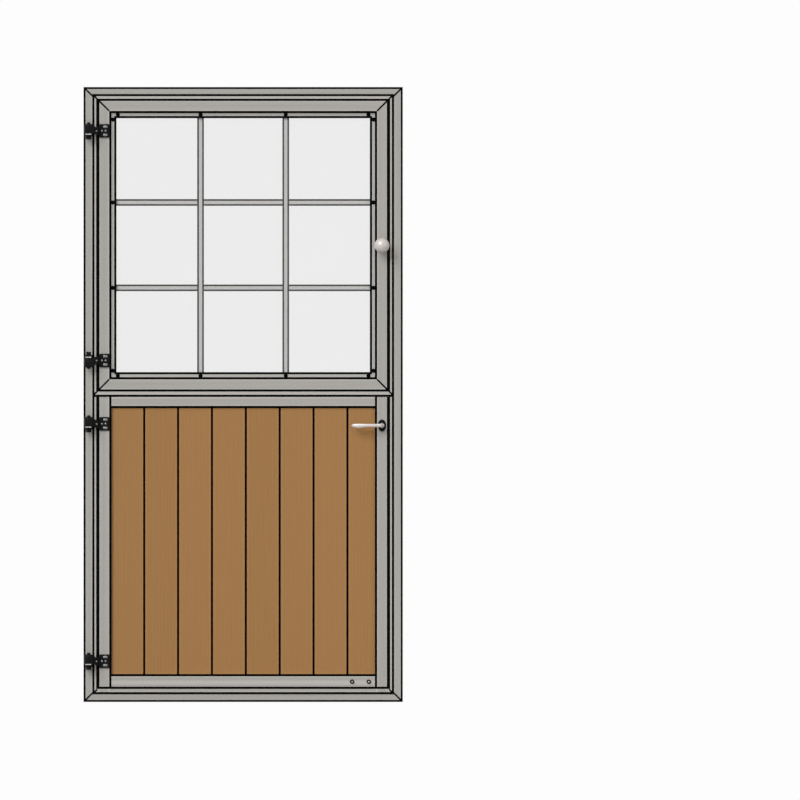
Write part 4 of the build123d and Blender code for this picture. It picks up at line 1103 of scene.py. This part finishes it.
class DOOR_OT_screws(bpy.types.Operator):
    """Makes the screws of the beads, brackets and hinge arms, with their cross recesses and washers"""

    bl_idname = "door.screws"
    bl_label = "Screws"

    def execute(self, context):
        sizes = context.scene.door_fittings
        self.bead_screws(sizes, context.scene.door_lines.stand)
        self.bracket_screws(sizes)
        for leaf in ("upper", "lower"):
            self.arm_screws(sizes, leaf)
        return {"FINISHED"}

    def shank(self, radius, reach):
        """Profile of a screw's pointed shank, from its tip up."""
        return [(0, -reach), (radius * 0.3, -reach), (radius, -reach + 2 * radius)]

    def pan_screw(self, name, head_radius, head_height, shank_radius, shank_length, sizes):
        """A pan-headed screw that stands on the origin with its shank below."""
        crown = 0.35 * head_height
        # The head's round top, as shares of its radius and of the crown's height below its middle
        rounding = [(head_radius * wide, head_height - crown * below)
                    for wide, below in ((1.0, 2.0), (0.94, 1.1), (0.8, 0.45), (0.5, 0.1))]
        profile = self.shank(shank_radius, shank_length) + [(shank_radius, 0), (head_radius, 0)]
        screw = turned(name, profile + rounding + [(0, head_height)], sizes.screw_steps)
        span = min(sizes.recess, head_radius * 1.1)
        cut_cross(screw, span, head_height, min(sizes.recess_depth, head_height / 2))
        return screw

    def bead_screws(self, sizes, seal_stand):
        """Pan screws that hold the beads, each on a rubber washer that lies on the beads' back seal."""
        boxes = solids_of("bead_screws")
        low, high = boxes[0]
        radius = (high.x - low.x) / 2
        screw = self.pan_screw("bead_screw", radius, bead_front - low.y, sizes.bead_screw_shank,
                               high.y - bead_front, sizes)
        places = fronts_of(boxes, bead_front)
        outer, thick, soft = radius + sizes.seal_reach, 0.9 * MM, 0.4 * MM
        washer = turned("bead_washer", [
            (radius, 0), (outer, 0), (outer, thick - soft), (outer - soft, thick), (radius, thick),
            (radius, 0),
        ], sizes.screw_steps)
        washer_places = [(foot + FRONT * seal_stand, axis) for foot, axis in places]
        dress(copies(washer, washer_places), "upper_leaf", "seal_rubber", RUBBER)
        screws = copies(screw, places)
        screws.name = "bead_pan_screws"
        dress(screws, "upper_leaf", "screw_black", RUBBER, "bead_screws")

    def bracket_screws(self, sizes):
        """Flat-headed screws sunk in the brackets."""
        boxes = solids_of("bracket_screws")
        low, high = boxes[0]
        radius, reach = (high.x - low.x) / 2, high.y - low.y
        shank = sizes.screw_shank
        head = [(shank, shank - radius), (radius - 0.15 * MM, -0.2 * MM), (radius - 0.3 * MM, 0), (0, 0)]
        screw = turned("bracket_screw", self.shank(shank, reach) + head, sizes.screw_steps)
        cut_cross(screw, sizes.recess, 0, sizes.recess_depth)
        dress(copies(screw, fronts_of(boxes)), "frame", "screw_zinc", IRON, "bracket_screws")

    def arm_screws(self, sizes, leaf):
        """Two screws on each arm's middle, two on oval washers, and the adjuster in its boss."""
        node = leaf + "_arm_screws"
        screws, washers, adjusters = [], [], []
        for box in solids_of(node):
            span = box[1].x - box[0].x
            kind = washers if span > OVAL_WASHER_SPAN else screws if span > ARM_SCREW_SPAN else adjusters
            kind.append(box)
        head_height, washer_thick = sizes.arm_screw_head, sizes.oval_washer
        low, high = screws[0]
        screw = self.pan_screw(leaf + "_arm_screw", (high.x - low.x) / 2, head_height, sizes.screw_shank,
                               high.y - low.y - head_height, sizes)
        low, high = washers[0]
        washer = self.oval_washer(high.x - low.x, high.z - low.z, washer_thick)
        low, high = adjusters[0]
        radius, tall = (high.x - low.x) / 2, high.y - low.y
        soft = 0.6 * MM
        adjuster = turned("adjuster", [
            (0, 0), (radius, 0), (radius, tall - soft), (radius - soft, tall), (0, tall),
        ], sizes.screw_steps)
        cut_hexagon(adjuster, sizes.adjuster_socket, tall, sizes.adjuster_socket_depth)
        # Each stands as far behind its box's front as it is high
        groups = ((screw, screws + washers, head_height), (washer, washers, head_height + washer_thick),
                  (adjuster, adjusters, tall))
        piece = join([
            copies(fastener, [(spot + BACK * behind, axis) for spot, axis in fronts_of(boxes)])
            for fastener, boxes, behind in groups
        ])
        piece.name = leaf + "_arm_fasteners"
        dress(piece, leaf + "_leaf", "screw_zinc", ZINC, node)

    def oval_washer(self, long, wide, thick):
        """A washer with round ends, made from a disc pulled apart at its middle."""
        deselect()
        bpy.ops.mesh.primitive_circle_add(vertices=PIN_STEPS, radius=wide / 2, fill_type="NGON")
        washer = bpy.context.object
        for side in (-1, 1):
            edit_where(washer, lambda vertex: side * vertex.co.x > MERGE_DISTANCE)
            bpy.ops.transform.translate(value=(side * (long - wide) / 2, 0, 0))
        bpy.ops.mesh.select_all(action="SELECT")
        extrude(0, 0, thick)
        leave_edit_mode()
        round_edges(washer, 0.5 * MM, 2, smooth=30, sharper_than=50)
        return washer


class DOOR_OT_hinges(bpy.types.Operator):
    """Rounds the cast brackets and arms and makes their pins, domed nuts and washers"""

    bl_idname = "door.hinges"
    bl_label = "Hinges"

    def execute(self, context):
        sizes = context.scene.door_fittings
        for number in HINGES:
            leaf = "upper_leaf" if number in UPPER_HINGES else "lower_leaf"
            self.cast("cast_arm_%d" % number, "hinge_arm_%d" % number, leaf, sizes.cast_edge)
            self.cast("cast_bracket_%d" % number, "hinge_bracket_%d" % number, "frame", sizes.cast_edge)
        self.washers(sizes)
        self.pins(sizes)
        return {"FINISHED"}

    def cast(self, name, node, body, rounding):
        """A copy of a plain casting with its edges rounded."""
        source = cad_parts[node]
        piece = source.copy()
        piece.data = source.data.copy()
        piece.name = name
        piece.hide_render = False
        bpy.context.collection.objects.link(piece)
        use(piece)
        edit_all()
        bpy.ops.mesh.remove_doubles(threshold=MERGE_DISTANCE)
        bpy.ops.mesh.dissolve_limited(angle_limit=math.radians(1))
        bpy.ops.object.mode_set(mode="OBJECT")
        round_edges(piece, rounding, 2, smooth=40, sharper_than=40)
        dress(piece, body, "hinge_black", IRON, node)

    def washers(self, sizes):
        """Thin bearing washers between the arms and the brackets."""
        boxes = solids_of("hinge_washers")
        low, high = boxes[0]
        outer, thick, bore = (high.x - low.x) / 2, high.z - low.z, sizes.washer_bore
        soft = 0.5 * MM
        washer = turned("hinge_washer", [
            (bore, 0), (outer - soft, 0), (outer, soft), (outer, thick - soft), (outer - soft, thick),
            (bore, thick), (bore, 0),
        ], sizes.turn_steps)
        places = [(Vector(((low.x + high.x) / 2, (low.y + high.y) / 2, low.z)), UP) for low, high in boxes]
        dress(copies(washer, places), "frame", "washer_steel", STEEL, "hinge_washers")

    def pins(self, sizes):
        """Hexagon-headed pins, each with a domed nut on its far end."""
        boxes = sorted(solids_of("hinge_pins"), key=lambda box: box[0].z)
        pins = [box for box in boxes if box[1].z - box[0].z > PIN_LENGTH]
        nuts = [box for box in boxes if box[1].z - box[0].z <= PIN_LENGTH]
        middle = (pins[0][0] + pins[0][1]) / 2
        span = pins[0][1].z - pins[0][0].z
        dome, dome_radius = nuts[0][1].z - nuts[0][0].z, (nuts[0][1].x - nuts[0][0].x) / 2
        head, corner = sizes.pin_head, sizes.pin_flats / math.sqrt(3)
        shank, thread, thread_length = sizes.pin_radius, sizes.thread_radius, sizes.thread_length
        soft, chamfer, end = 1.0 * MM, 1.6 * MM, 0.5 * MM
        hexagon = turned("pin_head", [
            (0, 0), (corner - chamfer, 0), (corner, soft), (corner, head - soft), (corner - chamfer, head),
            (0, head),
        ], 6)
        rod = turned("pin_rod", [
            (0, head - soft), (shank, head - soft), (shank, span - thread_length),
            (thread, span - thread_length), (thread, span - end), (thread - end, span), (0, span),
        ], PIN_STEPS)
        pin = join([hexagon, rod])
        # The dome is a cap of a sphere, open below for the thread
        sphere = (dome_radius ** 2 + dome ** 2) / (2 * dome)
        rise = math.degrees(math.asin((sphere - dome) / sphere))
        bore = thread + 0.05 * MM
        cap = arc((0, dome - sphere), sphere, rise, 90, 10)
        nut = turned("domed_nut", [
            (bore, 0), (dome_radius, 0), *cap, (0, thread_length), (bore, thread_length), (bore, 0),
        ], PIN_STEPS)
        pin_places, nut_places = [], []
        for pin_box, nut_box in zip(pins, nuts):
            # A nut above its pin's foot means that the pin stands on its head
            upright = nut_box[0].z > pin_box[0].z
            for places, (low, high) in ((pin_places, pin_box), (nut_places, nut_box)):
                foot = Vector((middle.x, middle.y, low.z if upright else high.z))
                places.append((foot, UP if upright else DOWN))
        piece = join([copies(pin, pin_places), copies(nut, nut_places)])
        piece.name = "pins_and_domed_nuts"
        dress(piece, "frame", "hinge_black", IRON, "hinge_pins")


class DOOR_OT_rail_bolts(bpy.types.Operator):
    """Makes the bottom rail's socket bolts with knurled heads, washers and nuts"""

    bl_idname = "door.rail_bolts"
    bl_label = "Rail bolts"

    def execute(self, context):
        sizes = context.scene.door_fittings
        boxes = solids_of("rail_bolts")
        low, high = boxes[0]
        head_height, reach = leaf_front - low.y, high.y - leaf_front
        head, shank, washer = sizes.bolt_head, sizes.bolt_shank, sizes.bolt_washer
        washer_top = leaf_front - leaf_back
        washer_foot = washer_top - sizes.bolt_washer_thick
        end, chamfer = 0.5 * MM, 1.0 * MM
        body = turned("rail_bolt", [
            (0, -reach), (shank - end, -reach), (shank, -reach + end), (shank, washer_foot),
            (washer, washer_foot), (washer, washer_top), (shank, washer_top), (shank, 0), (head, 0),
            (head, head_height - chamfer), (head - chamfer, head_height), (0, head_height),
        ], KNURL_STEPS)
        self.knurl(body, head, head_height - chamfer)
        cut_hexagon(body, sizes.bolt_socket, head_height, sizes.bolt_socket_depth)
        corner = sizes.bolt_nut / math.sqrt(3)
        nut = turned("rail_nut", [
            (shank, -reach), (corner - chamfer, -reach), (corner, -reach + 0.6 * MM), (corner, washer_foot),
            (shank, washer_foot), (shank, -reach),
        ], 6)
        bolt = join([body, nut])
        places = fronts_of(boxes, leaf_front)
        outer, thick = head + sizes.seal_reach, 1.3 * MM
        ring = turned("rail_bolt_washer", [
            (head, 0), (outer, 0), (outer, thick - end), (outer - end, thick), (head, thick), (head, 0),
        ], KNURL_STEPS)
        dress(copies(ring, places), "lower_leaf", "seal_rubber", RUBBER)
        piece = copies(bolt, places)
        piece.name = "knurled_rail_bolts"
        dress(piece, "lower_leaf", "bolt_steel", IRON, "rail_bolts")
        # The sockets are bright steel, as a key wears them, and this is also a painted highlight at each
        # bolt's middle
        piece.data.materials.append(bpy.data.materials[STEEL])
        socket_reach, socket_behind = sizes.bolt_socket * 0.6, leaf_front - 3 * MM
        for face in piece.data.polygons:
            beside = min(math.hypot(face.center.x - spot.x, face.center.z - spot.z) for spot, _ in places)
            if face.center.y < socket_behind and beside < socket_reach:
                face.material_index = 1
        return {"FINISHED"}

    def knurl(self, piece, radius, top):
        """Draws in every other column of the head's side, up to its top edge."""
        margin = 0.1 * MM

        def in_groove(vertex):
            column = round(math.atan2(vertex.co.y, vertex.co.x) * KNURL_STEPS / math.tau)
            on_side = abs(math.hypot(vertex.co.x, vertex.co.y) - radius) < MERGE_DISTANCE
            return on_side and -margin < vertex.co.z < top + margin and column % 2 == 0

        edit_where(piece, in_groove)
        # The grooves are a sixteenth of the head's radius deep
        drawn_in = 0.94
        bpy.ops.transform.resize(value=(drawn_in, drawn_in, 1), center_override=(0, 0, 0))
        bpy.ops.object.mode_set(mode="OBJECT")


class DOOR_OT_knobs(bpy.types.Operator):
    """Turns the two knobs and their round roses"""

    bl_idname = "door.knobs"
    bl_label = "Knobs"

    def execute(self, context):
        sizes = context.scene.door_fittings
        centre = (knob_low + knob_high) / 2
        rose_thick = leaf_front - knob_rose_low.y
        standoff = leaf_front - (knob_low.y + sizes.knob_radius)
        neck, waist, gap = sizes.neck_radius, sizes.knob_waist, sizes.neck_gap
        # The ball starts where the waist meets it
        meet = math.degrees(math.asin(waist / sizes.knob_radius))
        neck_end = rose_thick + 1 * MM
        ball = arc((0, standoff), sizes.knob_radius, meet - 90, 90, 24)
        profile = [
            (0, gap), (neck, gap), (neck, neck_end), (waist + 0.3 * MM, neck_end + 1 * MM),
            (waist, neck_end + 2 * MM), *ball,
        ]
        sides = (("knob_front", FRONT, leaf_front), ("knob_back", BACK, leaf_back))
        for node, side, foot in sides:
            knob = turned("turned_" + node, profile, sizes.turn_steps)
            set_down(knob, Vector((centre.x, foot, centre.z)), side)
            dress(knob, "upper_knob", "handle_satin", SATIN, node)
        outer, bore = (knob_rose_high.x - knob_rose_low.x) / 2, sizes.rose_bore
        soft, bore_soft = sizes.rose_round, 0.4 * MM
        front_edge = arc((outer - soft, rose_thick - soft), soft, 0, 90, 5)
        rose = turned("knob_rose", [
            (bore, 0), (outer, 0), *front_edge, (bore + bore_soft, rose_thick),
            (bore, rose_thick - bore_soft), (bore, 0),
        ], sizes.turn_steps)
        roses = copies(rose, [(Vector((centre.x, foot, centre.z)), side) for _, side, foot in sides])
        roses.name = "turned_knob_roses"
        dress(roses, "upper_leaf", "hinge_black", IRON, "knob_roses")
        return {"FINISHED"}


class DOOR_OT_levers(bpy.types.Operator):
    """Shapes the two levers with their bend and their swelling grip, and their oval roses"""

    bl_idname = "door.levers"
    bl_label = "Levers"

    def execute(self, context):
        sizes = context.scene.door_fittings
        centre = (lever_rose_low + lever_rose_high) / 2
        sections = self.grip_sections(sizes, centre)
        for node, turn in (("lever_front", 1), ("lever_back", -1)):
            turned_sections = [
                (Vector((middle.x, turn * middle.y, middle.z)), Vector((heading.x, turn * heading.y, 0)),
                 half_depth, half_height)
                for middle, heading, half_depth, half_height in sections
            ]
            lever = ringed("shaped_" + node, turned_sections, LEVER_SIDES)
            dress(lever, "lower_lever", "handle_satin", SATIN, node)
        half_width = (lever_rose_high.x - lever_rose_low.x) / 2
        half_height = (lever_rose_high.z - lever_rose_low.z) / 2
        thick = leaf_front - lever_rose_low.y
        soft, bore = sizes.rose_round, sizes.rose_bore
        front_edge = [(half_width - soft + inwards, half_height - soft + inwards, out)
                      for inwards, out in arc((0, thick - soft), soft, 0, 90, 5)]
        roses = self.both_sides("lever_rose", centre, [
            (bore, bore, 0), (half_width, half_height, 0), *front_edge, (bore, bore, thick), (bore, bore, 0),
        ])
        roses.name = "shaped_lever_roses"
        dress(roses, "lower_leaf", "hinge_black", IRON, "lever_roses")
        wide, high = half_width + sizes.gasket_reach, half_height + 1 * MM
        foam = self.both_sides("rose_gasket", centre, [
            (half_width, half_height, 0), (wide, high, 0), (wide, high, sizes.gasket_thick),
            (half_width, half_height, sizes.gasket_thick), (half_width, half_height, 0),
        ])
        foam.name = "lever_rose_gaskets"
        dress(foam, "lower_leaf", "seal_rubber", RUBBER)
        return {"FINISHED"}

    def grip_sections(self, sizes, centre):
        """Sections from the neck, through the bend and along the grip to its tip."""
        standoff, bend = sizes.lever_standoff, sizes.lever_bend
        half_depth, half_height = sizes.lever_half_depth, sizes.lever_half_height
        run = centre.x - lever_low.x - bend
        fall = standoff - sizes.lever_tip_out
        # The grip follows a wide circle back towards the leaf
        sweep_radius = (run ** 2 + fall ** 2) / (2 * fall)
        rose_thick = leaf_front - lever_rose_low.y
        sections = []
        for out, deep, high in (
                (sizes.neck_gap, sizes.neck_radius, sizes.neck_radius),
                (rose_thick + 0.6 * MM, sizes.neck_radius, sizes.neck_radius),
                (rose_thick + 1.6 * MM, half_depth, half_height),
                (0.5 * standoff, half_depth, half_height)):
            sections.append((Vector((centre.x, leaf_front - out, centre.z)), FRONT, deep, high))
        bend_steps, grip_steps = 8, 30
        for step in range(bend_steps + 1):
            angle = math.radians(90 * step / bend_steps)
            middle = Vector((centre.x - bend * (1 - math.cos(angle)),
                             leaf_front - standoff + bend - bend * math.sin(angle), centre.z))
            heading = Vector((-math.sin(angle), -math.cos(angle), 0))
            sections.append((middle, heading, half_depth, half_height))
        # Shares of the grip's length: where it swells, how widely, and where its tip starts to close
        swell_place, swell_spread, tip_start = 0.74, 0.16, 0.9
        # Shares of its half depth and half height: slim, what the swell adds, and the blunt tip
        slim_depth, swell_depth, slim_height, swell_height, blunt = 0.82, 0.05, 0.9, 0.3, 0.25
        for step in range(1, grip_steps + 1):
            share = step / grip_steps
            out = run * share
            back = sweep_radius - math.sqrt(sweep_radius ** 2 - out ** 2)
            swell = math.exp(-((share - swell_place) / swell_spread) ** 2)
            depth = half_depth * (slim_depth + swell_depth * swell)
            height = half_height * (slim_height + swell_height * swell)
            into_tip = max(0.0, (share - tip_start) / (1 - tip_start))
            close = max(blunt, math.sqrt(max(0.0, 1 - into_tip ** 2)))
            middle = Vector((centre.x - bend - out, leaf_front - standoff + back,
                             centre.z - sizes.lever_sink * swell))
            heading = Vector((-sweep_radius + back, out, 0)).normalized()
            sections.append((middle, heading, depth * close, height * close))
        return sections

    def both_sides(self, name, centre, rings):
        """An oval ring on each side of the leaf, from its half widths, half heights and heights above it."""
        pieces = []
        for face, side in ((leaf_front, FRONT), (leaf_back, BACK)):
            sections = [(Vector((centre.x, face, centre.z)) + side * out, side, wide, high)
                        for wide, high, out in rings]
            pieces.append(ringed(name, sections, ROSE_SIDES, hollow=True))
        return join(pieces)


class DOOR_PT_panel(bpy.types.Panel):
    """Lists the door's colours, sizes and steps"""

    bl_idname = "DOOR_PT_panel"
    bl_label = "Stable door"
    bl_space_type = "VIEW_3D"
    bl_region_type = "UI"
    bl_category = "Stable door"

    def draw(self, context):
        scene = context.scene
        for group in (getattr(scene, name) for name in GROUPS):
            box = self.layout.box()
            for name in group.bl_rna.properties.keys():
                if name not in ("rna_type", "name"):
                    box.prop(group, name)
        for operator in OPERATORS:
            self.layout.operator(operator.bl_idname)


# The steps, in the order that they are run in
OPERATORS = (DOOR_OT_stage, DOOR_OT_finishes, DOOR_OT_lines, DOOR_OT_glazing, DOOR_OT_joints, DOOR_OT_screws,
             DOOR_OT_hinges, DOOR_OT_rail_bolts, DOOR_OT_knobs, DOOR_OT_levers)
GROUPS = {"door_finishes": DoorFinishes, "door_lines": DoorLines, "door_fittings": DoorFittings,
          "door_stage": DoorStage}
CLASSES = tuple(GROUPS.values()) + OPERATORS + (DOOR_PT_panel,)


def register():
    for made_class in CLASSES:
        bpy.utils.register_class(made_class)
    for name, group in GROUPS.items():
        setattr(bpy.types.Scene, name, PointerProperty(type=group))


def unregister():
    for name in GROUPS:
        delattr(bpy.types.Scene, name)
    for made_class in reversed(CLASSES):
        bpy.utils.unregister_class(made_class)


def main():
    register()
    for operator in OPERATORS:
        getattr(bpy.ops.door, operator.bl_idname.partition(".")[2])()


if __name__ == "__main__":
    main()
